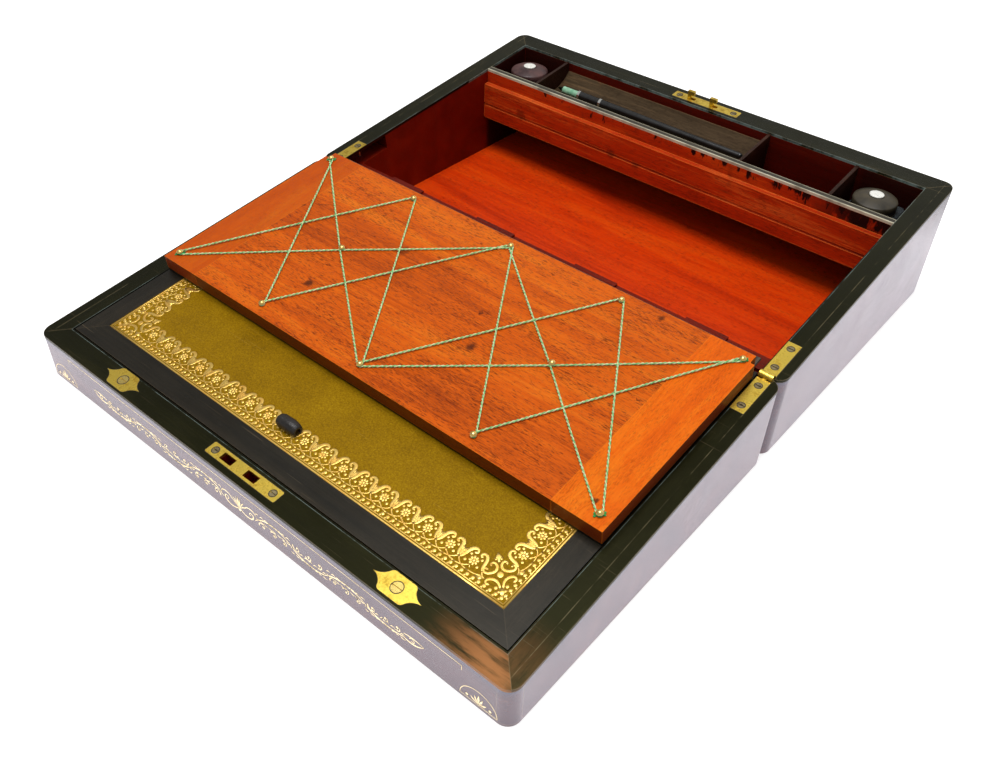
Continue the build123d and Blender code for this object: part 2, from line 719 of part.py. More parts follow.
def cord_run(start, end, level):
    """A straight cord between two pins, from turn to turn."""
    a = Vector(*start, level)
    b = Vector(*end, level)
    heading = (b - a).normalized()
    length = (b - a).length - 2 * turn_radius
    plane = Plane(origin=a + heading * turn_radius, z_dir=heading)
    return plane * Pos(0, 0, length / 2) * Cylinder(cord_radius, length)


turn = Cylinder(turn_radius + cord_radius, cord_ring) - Cylinder(turn_radius - cord_radius, cord_ring)
cord_parts = [cord_run(pins[a], pins[b], cord_n + cord_step) for a, b in first_laid]
cord_parts += [cord_run(pins[a], pins[b], cord_n - cord_step) for a, b in laid_over]
cord = (Pos(*pins["left"], cord_n) * turn).fuse(
    *[Pos(x, s, cord_n) * turn for x, s in pins.values() if (x, s) != pins["left"]], *cord_parts)

loop_reach = (upper_near + flap_edge_gap - math.pi * (fold_clearance + strip_thickness / 2)) / 2 - flap_edge_gap
outer = fold_clearance + strip_thickness
strip = block(-strip_half, strip_half, -flap_edge_gap - strip_lap, loop_reach, -outer, outer)
strip += Pos(0, loop_reach, 0) * Rot(0, 90, 0) * Cylinder(outer, 2 * strip_half)
strip -= block(-strip_half, strip_half, -flap_edge_gap - strip_lap, loop_reach, -fold_clearance, fold_clearance)
strip -= Pos(0, loop_reach, 0) * Rot(0, 90, 0) * Cylinder(fold_clearance, 2 * strip_half)
save(slope * strip, "flap_hinge_strip")

down = Pos(0, 0, face_n)
save(turned_over(down * middle), "upper_flap_board")
save(turned_over(down * clamps), "upper_flap_clamps")
save(turned_over(down * Compound([solid - notches[0] - notches[1] for solid in border.solids()])),
     "upper_flap_border")
save(turned_over(down * leather), "upper_flap_leather")
save(turned_over(down * Compound(pin_solids)), "letter_rack_pins")
save(turned_over(down * cord), "letter_rack_cord")


# Inkwells: a square glass bottle with a turned cap and a pearl disc
def bottle():
    """Standing on the origin, hollow, with a round neck."""
    body = Pos(0, 0, bottle_height / 2) * Box(bottle_side, bottle_side, bottle_height)
    body = fillet(body.edges().filter_by(Axis.Z), bottle_round)
    body = fillet(body.faces().sort_by(Axis.Z)[-1].edges(), bottle_round / 2)
    body += Pos(0, 0, bottle_height + neck_height / 2) * Cylinder(neck_radius, neck_height)
    cavity_height = bottle_height - 2 * bottle_wall
    cavity = Pos(0, 0, bottle_height / 2) * Cylinder(bottle_side / 2 - bottle_wall, cavity_height)
    bore = Pos(0, 0, bottle_height) * Cylinder(neck_bore_radius, 2 * (neck_height + bottle_wall))
    return body - cavity - bore


def bottle_cap():
    """A turned cap over the neck, hollow below, with its disc's seat on top."""
    base = bottle_height + cap_step
    cap = Pos(0, 0, base + cap_skirt / 2) * Cylinder(cap_radius, cap_skirt)
    cap = fillet(cap.edges().filter_by(GeomType.CIRCLE).sort_by(Axis.Z)[0], cap_skirt / 4)
    cap += Pos(0, 0, base + cap_skirt) * dome(cap_radius, cap_dome)
    hollow = neck_height - cap_step + cap_wall_fit
    cap -= Pos(0, 0, base + hollow / 2) * Cylinder(neck_radius + cap_wall_fit, hollow)
    seat = Pos(0, 0, base + cap_skirt + cap_dome + disc_proud - disc_thickness / 2)
    disc = seat * Cylinder(disc_radius, disc_thickness)
    return cap - disc, disc


left_x = left_room / 2 - inner_x
right_x = inner_x - right_room / 2
cap, disc = bottle_cap()
for name, x in (("left", left_x), ("right", right_x)):
    stand = Pos(x, trough_y, tray_floor_top + seat_gap)
    save(stand * bottle(), f"inkwell_{name}_bottle")
    save(stand * cap, f"inkwell_{name}_cap")
    save(stand * disc, f"inkwell_{name}_disc")


# Dip pen lying in the trough, nib to the left
def along(x0, x1, r0, r1):
    """A round length of the pen between two places along it."""
    return Pos((x0 + x1) / 2, 0, 0) * Rot(0, 90, 0) * Cone(r0, r1, x1 - x0)


pen_x = trough_x0 + pen_start
ferrule_x = pen_x + nib_length
holder_x = ferrule_x + ferrule_length
holder_x1 = pen_x + pen_length
bands = []
for x in (holder_x, holder_x + band_place):
    ring = Pos(x + band_length / 2, 0, 0) * Rot(0, 90, 0) * (
        Cylinder(holder_radius + band_proud, band_length) - Cylinder(holder_radius - band_depth, band_length))
    bands.append(ring)
holder = along(holder_x, holder_x1, holder_radius, holder_end_radius) + (
    Pos(holder_x1, 0, 0) * Sphere(holder_end_radius))
for ring in bands:
    holder -= ring
nib = along(pen_x, ferrule_x, nib_tip_radius, nib_root_radius)
ferrule = Pos((ferrule_x + holder_x) / 2, 0, 0) * Rot(0, 90, 0) * Cylinder(ferrule_radius, ferrule_length)
pen_n = face_n - trough_drop + pen_rest_gap + holder_radius + band_proud
for node, shape in (("pen_holder", holder), ("pen_nib", nib), ("pen_ferrule", ferrule),
                    ("pen_bands", Compound(bands))):
    save(place(shape, 0, trough_s, pen_n), node)
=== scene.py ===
import bpy
import bmesh
import json
import math
import random
from mathutils import Matrix, Vector


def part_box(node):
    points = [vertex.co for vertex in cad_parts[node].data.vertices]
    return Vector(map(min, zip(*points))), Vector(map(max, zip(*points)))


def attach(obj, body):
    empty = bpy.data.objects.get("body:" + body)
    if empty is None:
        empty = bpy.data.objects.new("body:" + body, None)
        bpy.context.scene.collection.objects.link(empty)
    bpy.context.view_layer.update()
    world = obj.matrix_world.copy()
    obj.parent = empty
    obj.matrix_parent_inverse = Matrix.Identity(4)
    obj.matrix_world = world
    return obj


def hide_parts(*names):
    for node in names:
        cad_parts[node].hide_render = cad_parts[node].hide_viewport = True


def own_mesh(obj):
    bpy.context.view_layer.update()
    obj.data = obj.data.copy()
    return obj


# Writing slope, standing open on a pale floor. Metres; x along the hinge, s up the slope, n square to it.

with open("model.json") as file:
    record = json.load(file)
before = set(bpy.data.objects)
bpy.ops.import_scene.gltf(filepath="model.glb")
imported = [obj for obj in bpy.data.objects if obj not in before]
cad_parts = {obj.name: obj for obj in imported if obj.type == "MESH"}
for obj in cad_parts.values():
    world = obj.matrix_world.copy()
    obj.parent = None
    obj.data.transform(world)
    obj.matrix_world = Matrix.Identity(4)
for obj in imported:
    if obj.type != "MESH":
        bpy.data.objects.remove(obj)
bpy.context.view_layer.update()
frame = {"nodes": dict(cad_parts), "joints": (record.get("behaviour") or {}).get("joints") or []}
nodes = frame["nodes"]
rng = random.Random(7)
mm = 0.001


def pivotOf(joint):
    return Vector(next(j for j in frame["joints"] if j["name"] == joint)["pos_m"])


hinge = pivotOf("lid_fold")
caseHalf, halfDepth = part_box("main_veneer")[1].xy
frontHeight = 32 * mm  # lid's front face, where it meets the slope
slopeFrame = Matrix.Translation(hinge) @ Matrix.Rotation(math.atan2(hinge.z - frontHeight, halfDepth), 4, "X")
slopeTurn = slopeFrame.to_3x3()
slopeUp = slopeTurn @ Vector((0, 0, 1))


def onSlope(x, s, n):
    return slopeFrame @ Vector((x, s, n))


def onSlopeMm(x, s, n):
    return onSlope(x * mm, s * mm, n * mm)


def between(a, b, t):
    return a + (b - a) * t


def spread(count, a=0, b=1):
    # from a to b in even steps, both ends included
    return [between(a, b, i / count) for i in range(count + 1)]


def circle(sides):
    return [2 * math.pi * j / sides for j in range(sides)]


def around(x, y, radius, turn):
    return x + radius * math.cos(turn), y + radius * math.sin(turn)


def addPiece(name, mesh):
    piece = bpy.data.objects.new(name, mesh)
    bpy.context.scene.collection.objects.link(piece)
    return piece


# Short ways to make shader nodes. A node goes into the tree that its first linked value belongs to.

socketKinds = {"VALUE": "NodeSocketFloat", "VECTOR": "NodeSocketVector"}


def rgb(r, g, b):
    # screen colour, 0 to 255, to the linear values that shaders take
    return tuple(((c / 255 + 0.055) / 1.055) ** 2.4 if c > 10 else c / 255 / 12.92 for c in (r, g, b))


def shaded(color, share, lift=0.0):
    return [min(1.0, c * share + lift) for c in color]


def addNode(tree, kind, **values):
    node = tree.nodes.new("ShaderNode" + kind)
    for key, value in values.items():
        setattr(node, key, value)
    return node


def plug(socket, value):
    # a socket takes another's output, a number, a place or a colour
    if hasattr(value, "is_output"):
        socket.id_data.links.new(value, socket)
    elif isinstance(value, (int, float)):
        socket.default_value = value
    else:
        socket.default_value = (*value[:3], 1.0) if socket.type == "RGBA" else value


def setIn(node, **values):
    for key, value in values.items():
        plug(node.inputs[key.replace("_", " ")], value)
    return node


def linked(kind, *values, **settings):
    # a node with its first inputs taken from values
    tree = next(v for v in values if hasattr(v, "is_output")).id_data
    node = addNode(tree, kind, **settings)
    for socket, value in zip(node.inputs, values):
        plug(socket, value)
    return node


def mathNode(operation, first, *rest, clamp=False):
    # with more than two values, the result so far meets each next one
    node = linked("Math", first, *rest[:1], operation=operation, use_clamp=clamp)
    return mathNode(operation, node.outputs[0], *rest[1:]) if rest[1:] else node.outputs[0]


def times(*values, clamp=False):
    return mathNode("MULTIPLY", *values, clamp=clamp)


def plus(*values):
    return mathNode("ADD", *values)


def minus(*values):
    return mathNode("SUBTRACT", *values)


def most(*values):
    return mathNode("MAXIMUM", *values)


def sizeOf(value):
    return mathNode("ABSOLUTE", value)


def vectorMath(operation, *values, out=0):
    return linked("VectorMath", *values, operation=operation).outputs[out]


def enlarged(value, scale):
    return setIn(linked("VectorMath", value, operation="SCALE"), Scale=scale).outputs[0]


def blend(kind, factor, a, b):
    # mixes two numbers, vectors or colours
    first, output = {"FLOAT": (2, 0), "VECTOR": (4, 1), "RGBA": (6, 2)}[kind]
    tree = next(v for v in (factor, a, b) if hasattr(v, "is_output")).id_data
    node = addNode(tree, "Mix", data_type=kind)
    for socket, value in ((0, factor), (first, a), (first + 1, b)):
        plug(node.inputs[socket], value)
    return node.outputs[output]


def tinted(color, mask, shade, strength=None):
    # color turned toward shade where mask is 1, as far as strength lets it
    return blend("RGBA", mask if strength is None else times(mask, strength), color, shade)


def remap(value, low, high, outLow=0.0, outHigh=1.0):
    return linked("MapRange", value, low, high, outLow, outHigh, interpolation_type="SMOOTHSTEP").outputs[0]


def band(value, middle, half, core):
    # 1 within core of a middle value, 0 beyond half
    return remap(sizeOf(minus(value, middle)), half, core)


def ramp(value, places, colors):
    node = linked("ValToRGB", value)
    elements = node.color_ramp.elements
    while len(elements) < len(places):
        elements.new(0.5)
    for element, place, color in zip(elements, places, colors):
        element.position = place
        element.color = (*rgb(*color), 1.0)
    return node.outputs[0]


def scaled(place, scale, turn=0.0):
    node = linked("Mapping", place)
    return setIn(node, Rotation=(0, 0, turn), Scale=scale).outputs[0]


def noise(place, scale, detail=3.0, rough=0.55, distortion=0.0):
    node = linked("TexNoise", place)
    return setIn(node, Scale=scale, Detail=detail, Roughness=rough, Distortion=distortion).outputs[0]


def streaky(place, scale, detail, rough, distortion=0.0):
    return noise(scaled(place, scale), 1.0, detail, rough, distortion)


def objectPlace(tree):
    return addNode(tree, "TexCoord").outputs["Object"]


def axis(place, index):
    return linked("SeparateXYZ", place).outputs[index]


def past(place, rectangle):
    # distance outside a rectangle (half x, middle y, half y), less than 0 inside it
    halfX, middle, halfY = rectangle
    return most(minus(sizeOf(axis(place, 0)), halfX), minus(sizeOf(minus(axis(place, 1), middle)), halfY))


def near(place, centre, radius, soft=0.5):
    # one round patch about a point, from 1 in the middle to 0 outside
    return remap(vectorMath("DISTANCE", place, centre, out="Value"), radius, radius * (1 - soft))


def facing(tree, direction):
    # how squarely the surface faces along a direction of the object, 0 to 1, from either side
    normal = addNode(tree, "TexCoord").outputs["Normal"]
    return sizeOf(vectorMath("DOT_PRODUCT", normal, direction, out="Value"))


def makeGroup(name, ins, build):
    # build gets the group's tree and inputs, and gives back its outputs by name
    tree = bpy.data.node_groups.new(name, "ShaderNodeTree")
    for label, value in ins.items():
        kind = socketKinds["VECTOR" if value is None else "VALUE"]
        socket = tree.interface.new_socket(label, in_out="INPUT", socket_type=kind)
        if value is not None:
            socket.default_value = value
    made = build(tree, tree.nodes.new("NodeGroupInput").outputs)
    for label, value in made.items():
        tree.interface.new_socket(label, in_out="OUTPUT", socket_type=socketKinds[value.type])
    result = tree.nodes.new("NodeGroupOutput").inputs
    for label, value in made.items():
        plug(result[label], value)
    return tree


def useGroup(tree, group, **values):
    return setIn(addNode(tree, "Group", node_tree=group), **values).outputs


# Effects that several finishes share

def wornEdges(tree, given):
    bevel = linked("Bevel", given["Radius"], samples=6)
    normal = addNode(tree, "NewGeometry").outputs["True Normal"]
    edge = remap(vectorMath("DOT_PRODUCT", bevel.outputs[0], normal, out="Value"), 0.995, 0.80)
    patches = noise(objectPlace(tree), given["Breakup"], 4.0, 0.65)
    level = times(minus(1.0, given["Spread"]), 0.55)
    return {"Mask": times(edge, times(minus(patches, level), 5.0, clamp=True))}


def figured(tree, given):
    along = enlarged(given["Vector"], given["Scale"])
    streak = streaky(along, (22, 620, 620), 4, 0.7, 0.3)
    flecks = streaky(along, (240, 3000, 3000), 2, 0.5)
    gate = streaky(along, (24, 110, 110), 3, 0.6)
    pores = remap(plus(flecks, times(gate, 0.30)), 0.70, 0.78)
    return {"Figure": streaky(along, (3.0, 30, 30), 5, 0.65, 0.9), "Streak": streak, "Pores": pores,
            "Height": minus(times(streak, 0.35), pores)}


def scratched(tree, given):
    place = objectPlace(tree)
    masks = []
    for turn, shift in ((0.5, 3.0), (-0.9, 11.0), (1.35, 23.0)):
        lines = noise(scaled(place, (14 + shift, 1700, 300), turn), 1.0, 0, 0.5)
        where = noise(scaled(place, (9, 9, 9), shift), 1.0, 2, 0.6)
        masks.append(times(remap(lines, 0.79, 0.84), remap(where, 0.5, 0.7)))
    return {"Mask": times(most(*masks), given["Amount"])}


def spotted(tree, given):
    place = objectPlace(tree)
    cells = setIn(linked("TexVoronoi", place), Scale=given["Scale"], Randomness=1.0).outputs
    chosen = mathNode("LESS_THAN", cells["Color"], given["Share"])
    reach = plus(cells["Distance"], times(noise(place, 400.0, 2), 0.25))
    return {"Mask": times(remap(reach, 0.34, 0.22), chosen)}


def framed(tree, given):
    # grain that runs along each of a frame's four strips, turned at the mitres
    place = objectPlace(tree)
    across = minus(given["Half X"], sizeOf(axis(place, 0)))
    down = minus(given["Half Y"], sizeOf(minus(axis(place, 1), given["Centre Y"])))
    side = mathNode("LESS_THAN", across, down)
    turned = setIn(linked("Mapping", place), Rotation=(0, 0, math.pi / 2), Location=(0.37, 0.11, 0.0))
    return {"Vector": blend("VECTOR", side, place, turned.outputs[0]), "Side": side}


def creased(tree, given):
    place = objectPlace(tree)
    cells = setIn(linked("TexVoronoi", place, feature="DISTANCE_TO_EDGE"), Scale=given["Scale"])
    creases = remap(cells.outputs["Distance"], 0.0, 0.18)
    return {"Height": plus(creases, times(noise(place, 2600.0, 2), 0.5)),
            "Mottle": noise(place, 38.0, 5, 0.65)}


edgeWear = makeGroup("edgeWear", {"Radius": 0.001, "Spread": 0.35, "Breakup": 120.0}, wornEdges)
woodFigure = makeGroup("woodFigure", {"Vector": None, "Scale": 1.0}, figured)
scratches = makeGroup("scratches", {"Amount": 0.5}, scratched)
spots = makeGroup("spots", {"Scale": 90.0, "Share": 0.2}, spotted)
frameGrain = makeGroup("frameGrain", {"Half X": 0.2, "Centre Y": 0.0, "Half Y": 0.2}, framed)
leatherGrain = makeGroup("leatherGrain", {"Scale": 1100.0}, creased)
print("effect groups made")


# Finishes

def newMaterial(name):
    material = bpy.data.materials.new(name)
    material.use_nodes = True
    tree = material.node_tree
    tree.nodes.clear()
    shader = addNode(tree, "BsdfPrincipled")
    plug(addNode(tree, "OutputMaterial").inputs["Surface"], shader.outputs[0])
    return material, tree, shader


def fill(shader, color, rough, height, distance, strength, **values):
    # the inputs that nearly every finish sets; height goes through a bump node of its own
    bump = setIn(addNode(shader.id_data, "Bump"), Strength=strength, Distance=distance, Height=height)
    setIn(shader, Base_Color=color, Roughness=rough, Normal=bump.outputs[0], **values)


def edgeWorn(color, radius, spread, breakup, shade, strength):
    wear = useGroup(color.id_data, edgeWear, Radius=radius, Spread=spread, Breakup=breakup)
    return tinted(color, wear[0], shade, strength)


def scarred(color, amount, shade):
    return tinted(color, useGroup(color.id_data, scratches, Amount=amount)[0], shade)


# dark, mid and light colour of the figure; the rest is how strong each mark is, edges being the painted shade
# on the flaps' upright faces
woodDefaults = {"turn": 0.0, "pores": 0.5, "edges": 0.0, "wear": (0.0009, 0.55, 0.55)}
mahoganyLooks = {
    "flapBoard": {"colors": ((140, 46, 4), (212, 90, 8), (234, 124, 24)), "stains": 0.13, "pores": 0.75,
                  "edges": 0.86},
    "flapClamps": {"colors": ((196, 70, 1), (230, 98, 4), (244, 130, 20)), "stains": 0.10, "pores": 0.35,
                   "edges": 0.86, "turn": math.pi / 2},
    "wellWood": {"colors": ((164, 28, 2), (220, 58, 4), (238, 86, 10)), "stains": 0.06},
    # painted shade: the walls are a darker copy of the well's mahogany, standing in for the shade they lie in
    "shadedWallWood": {"colors": ((70, 6, 1), (104, 12, 2), (128, 28, 6)), "stains": 0.08},
    "fasciaWood": {"colors": ((126, 22, 4), (184, 46, 8), (218, 82, 20)), "stains": 0.18},
    # the ledge's strong, light edge wear is partly real wear and partly a painted highlight along its arris
    "ledgeWood": {"colors": ((130, 24, 5), (188, 50, 10), (240, 124, 52)), "stains": 0.18,
                  "wear": (0.0012, 0.9, 0.9)},
    "trayWood": {"colors": ((28, 20, 13), (70, 57, 41), (120, 94, 66)), "stains": 0.30},
    "darkTray": {"colors": ((16, 5, 3), (34, 12, 7), (70, 40, 28)), "stains": 0.35},
}
# edge is the painted shade on the flaps' upright faces
markColors = {name: rgb(*color) for name, color in {
    "edge": (62, 12, 3), "bruise": (46, 14, 10), "ink": (18, 5, 6), "leftClampShade": (150, 56, 10),
    "backWallShade": (22, 6, 4), "backCornerShade": (10, 5, 5), "dirt": (24, 10, 8), "trayHighlight": (196, 96, 30),
    "scratch": (60, 22, 8)}.items()}
# bruises and dents on the flaps: x, s and radius in mm; the other lengths are in metres
# the last two set how squarely a face stands to the slope where the painted shade on the flaps' upright faces
# begins and where it is full
flapMarks = {"bruises": ((42.0, -96.0, 7.5), (27.0, -70.0, 4.0), (-82.0, -116.0, 7.0), (118.0, -6.5, 5.0),
                         (133.0, -58.0, 2.4), (146.0, -71.0, 2.2), (169.0, -143.5, 5.0),
                         (-150.0, -60.0, 3.0)),
             "level": 11.8, "shift": 0.003, "jitter": 0.006, "share": 0.62, "shadeFrom": 0.80, "shadeTo": 0.35}
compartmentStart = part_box("fascia_board")[0].y
inkRuns = {"fromTop": 15.0, "startX": -0.05}


def bruise(place):
    # dents and dark bruises on the top of the flaps, their outlines jittered
    jitter = setIn(linked("TexNoise", place), Scale=260.0, Detail=2.0).outputs["Color"]
    moved = vectorMath("ADD", place, enlarged(jitter, flapMarks["jitter"]))
    shift = flapMarks["shift"]
    marks = []
    for x, s, radius in flapMarks["bruises"]:
        centre = onSlope(x * mm + shift, s * mm + shift, flapMarks["level"] * mm + shift)
        marks.append(near(moved, centre, radius * mm * flapMarks["share"], 0.7))
    return times(most(*marks), 0.8)


def inkStain(place):
    # ink that ran over the cap of the fascia, thickest toward the right-hand well
    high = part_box("fascia_board")[1].z
    drips = streaky(place, (165, 165, 60), 3, 0.62)
    depth = remap(axis(place, 2), high - inkRuns["fromTop"] * mm, high, -0.16, 0.05)
    right = remap(axis(place, 0), inkRuns["startX"], 0.19, -0.015, 0.12)
    soaked = remap(plus(drips, times(depth, 0.5)), 0.30, 0.46)
    pooled = times(remap(axis(place, 0), 0.108, 0.160), soaked)
    return most(remap(plus(drips, depth, right), 0.62, 0.69), pooled)


def mahogany(name):
    look = woodDefaults | mahoganyLooks[name]
    material, tree, shader = newMaterial(name)
    place = objectPlace(tree)
    grain = useGroup(tree, woodFigure, Vector=scaled(place, (1, 1, 1), look["turn"]))
    tone = plus(times(grain["Figure"], 0.65), times(grain["Streak"], 0.40))
    color = ramp(tone, (0.30, 0.52, 0.74), look["colors"])
    color = tinted(color, grain["Pores"], shaded(rgb(*look["colors"][0]), 0.32), look["pores"])
    if look["edges"]:
        # painted shade: faces standing upright from the slope, the flaps' front edges and ends, are darkened
        # as though out of the light
        uprightShade = remap(facing(tree, slopeUp), flapMarks["shadeFrom"], flapMarks["shadeTo"])
        color = tinted(color, uprightShade, markColors["edge"], look["edges"])
        color = tinted(color, bruise(place), markColors["bruise"])
    if name == "fasciaWood":
        color = tinted(color, inkStain(place), markColors["ink"])
    if name == "flapClamps":
        # painted shade: the left-hand clamp is darkened toward its end, as though less lit
        color = tinted(color, remap(axis(place, 0), -0.10, -0.16), markColors["leftClampShade"], 0.45)
    if name == "shadedWallWood":
        # painted shade: the walls behind the fascia, down under the pen tray, are darkened, and darker still
        # toward the ends
        back = remap(axis(place, 1), compartmentStart - 0.002, compartmentStart + 0.004)
        cornerShade = remap(sizeOf(axis(place, 0)), 0.128, 0.142)
        color = tinted(color, back, markColors["backWallShade"], 0.42)
        color = tinted(color, times(back, cornerShade), markColors["backCornerShade"], 0.75)
    radius, spread, strength = look["wear"]
    color = edgeWorn(color, radius, spread, 160.0, rgb(*look["colors"][2]), strength)
    marks = useGroup(tree, spots, Scale=34.0, Share=look["stains"])
    blotch = remap(noise(place, 60.0, 4, 0.7), 0.60, 0.74)
    dirt = most(times(marks[0], 0.45), times(blotch, look["stains"] * 1.5))
    color = tinted(color, dirt, markColors["dirt"])
    if name == "trayWood":
        # painted highlight: a long light streak, broken by noise, along the back of the trough's hollow where
        # it catches the light
        x, y, z = -0.016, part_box("pen_trough")[1].y - 0.006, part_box("pen_trough")[1].z - 0.004
        worn = remap(streaky(place, (16, 60, 60), 4, 0.65), 0.52, 0.66)
        streak = times(worn, near(scaled(place, (0.25, 1, 1)), (x, y, z), 0.020, 0.8))
        color = tinted(color, streak, markColors["trayHighlight"], 0.8)
    color = scarred(color, 0.35, markColors["scratch"])
    fill(shader, color, remap(grain["Streak"], 0.3, 0.7, 0.34, 0.50), grain["Height"], 0.00012, 0.55,
         Specular_IOR_Level=0.22, Specular_Tint=(1.0, 0.62, 0.36))
    return material


borderLook = {"colors": ((14, 12, 7), (34, 29, 20), (64, 54, 40)), "rough": (0.30, 0.44), "ior": 1.36,
              "wear": 0.12, "tint": (1, 0.95, 0.85)}
veneerDefaults = {"rough": (0.28, 0.42), "frame": None, "rubHighlight": 0.0}
# frame: half x, middle y and half y of the frame that the grain runs round
veneerLooks = {
    "rimVeneer": {"colors": ((7, 7, 1), (18, 18, 4), (46, 42, 20)), "ior": 1.27, "frame": (0.2, 0.0, 0.247),
                  "rubHighlight": 0.9, "wear": 0.45, "tint": (1, 0.97, 0.46)},
    # the cap's strong edge wear is partly real wear and partly a painted highlight along its arrises
    "capVeneer": {"colors": ((30, 26, 20), (58, 52, 42), (104, 92, 76)), "ior": 1.4, "wear": 0.85,
                  "tint": (1, 0.95, 0.8)},
    # the sides' colours are paler and pinker than the dark wood's own: part of them is painted sheen
    "sideVeneer": {"colors": ((50, 27, 25), (88, 56, 50), (130, 92, 82)), "rough": (0.12, 0.22), "ior": 1.85,
                   "wear": 0.5, "tint": (0.88, 0.87, 1.0)},
    "lowerBorderVeneer": borderLook | {"frame": (0.1834, -0.1158, 0.1150)},
    "upperBorderVeneer": borderLook | {"frame": (0.1834, -0.0782, 0.0777)},
}
rubHighlightMark = {"x": caseHalf - 0.016, "s": -halfDepth - 0.002, "radius": 0.046, "color": (176, 112, 66)}
gapLines = {"opening": (0.184, -0.0002, 0.2312), "wellFrom": 0.155, "dark": 0.00050, "gapHighlightFrom": 0.00062,
            "gapHighlightTo": 0.00105, "gapHighlightColor": (118, 132, 128), "reflectionBandTop": -0.0015, "reflectionBandLow": -0.0075,
            "reflectionBandColor": (58, 66, 84), "facingJoint": 0.1936, "facingColor": (150, 136, 104),
            "capColor": (226, 220, 192)}
# joint is the black of the painted shade in the gap beside the flaps
nearBlack = {"pores": (0.002, 0.002, 0.001), "joint": (0.0006, 0.0006, 0.0004),
             "outerEdgeShade": (0.0008, 0.0008, 0.0006)}


def openingLines(place, color):
    # painted shade and highlights: a black line beside the flaps where the gap round them falls in shade, a
    # fine light line along it as a painted highlight, and a painted highlight on the arris round the open
    # well
    dark, start, end = gapLines["dark"], gapLines["gapHighlightFrom"], gapLines["gapHighlightTo"]
    away = past(place, gapLines["opening"])
    well = remap(axis(place, 1), gapLines["wellFrom"] - 0.001, gapLines["wellFrom"] + 0.001)
    flaps = minus(1.0, well)
    color = tinted(color, times(flaps, remap(away, dark + 0.00015, dark)), nearBlack["joint"])
    broken = remap(noise(place, 55.0, 4, 0.7), 0.36, 0.60)
    beside = band(away, (start + end) / 2, (end - start) / 2, (end - start) / 2 * 0.4)
    light = most(times(flaps, beside), times(well, remap(away, dark, dark * 0.5)))
    return tinted(color, times(light, broken), rgb(*gapLines["gapHighlightColor"]), 0.75)


def capLines(place, color):
    # painted highlights: a bright line on the arris along the front of the well's cap, and a fine light line
    # just behind it
    front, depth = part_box("fascia_cap")[0].y, axis(place, 1)
    for back, half, strength in ((0.0003, 0.0010, 0.75), (0.0046, 0.0008, 0.30)):
        line = band(depth, front + back, half, half * 0.5)
        broken = remap(noise(place, 38.0, 3, 0.7), 0.30, 0.58, 0.35, 1.0)
        color = tinted(color, times(line, broken), rgb(*gapLines["capColor"]), strength)
    return color


def darkVeneer(name):
    look = veneerDefaults | veneerLooks[name]
    material, tree, shader = newMaterial(name)
    place = along = objectPlace(tree)
    if look["frame"]:
        halfX, middle, halfY = look["frame"]
        strips = useGroup(tree, frameGrain, Half_X=halfX, Centre_Y=middle, Half_Y=halfY)
        along = strips["Vector"]
    grain = useGroup(tree, woodFigure, Vector=along, Scale=1.3)
    tone = plus(times(grain["Figure"], 0.7), times(grain["Streak"], 0.35))
    color = ramp(tone, (0.36, 0.56, 0.80), look["colors"])
    color = tinted(color, grain["Pores"], nearBlack["pores"], 0.5)
    if look["rubHighlight"]:
        # hands have rubbed the colour off the right-hand end of the front rim, and the light patch there is
        # partly a painted highlight
        rubbedAndLit = times(near(place, onSlope(rubHighlightMark["x"], rubHighlightMark["s"], 0), rubHighlightMark["radius"], 0.9),
                       remap(strips["Side"], 0.0, 1.0, 1.0, 0.30),
                       remap(streaky(along, (30, 240, 240), 4, 0.7), 0.25, 0.60))
        color = tinted(color, rubbedAndLit, rgb(*rubHighlightMark["color"]), look["rubHighlight"])
    color = edgeWorn(color, 0.0008, 0.65, 90.0, rgb(156, 138, 106), look["wear"])
    color = scarred(color, 0.4, rgb(120, 104, 80))
    if name == "rimVeneer":
        # the joint between the facing's two strips, showing as a fine broken line along the side rims
        joint = times(band(sizeOf(axis(place, 0)), gapLines["facingJoint"], 0.00028, 0.00008),
                      remap(noise(place, 45.0, 4, 0.7), 0.42, 0.62))
        color = openingLines(place, tinted(color, joint, rgb(*gapLines["facingColor"]), 0.45))
    if name == "capVeneer":
        color = capLines(place, color)
    if name == "sideVeneer":
        # painted reflection: the strip just under the rim is painted a cold bluish grey, standing for the
        # bright floor seen in its polish
        down = vectorMath("DOT_PRODUCT", vectorMath("SUBTRACT", place, hinge), slopeUp, out="Value")
        paintedReflection = remap(down, gapLines["reflectionBandLow"], gapLines["reflectionBandTop"])
        color = tinted(color, paintedReflection, rgb(*gapLines["reflectionBandColor"]), 0.8)
    if name.endswith("BorderVeneer"):
        # painted shade: the borders' outer edge turns black, where the gap beside the rim falls in shade
        color = tinted(color, remap(past(place, look["frame"]), -0.00045, -0.00025), nearBlack["outerEdgeShade"])
    color = tinted(color, useGroup(tree, spots, Scale=120.0, Share=0.03)[0], rgb(130, 120, 100), 0.5)
    fill(shader, color, remap(noise(place, 22.0, 4, 0.6), 0.3, 0.7, *look["rough"]), grain["Height"], 0.00006,
         0.35, IOR=look["ior"], Specular_Tint=look["tint"])
    return material


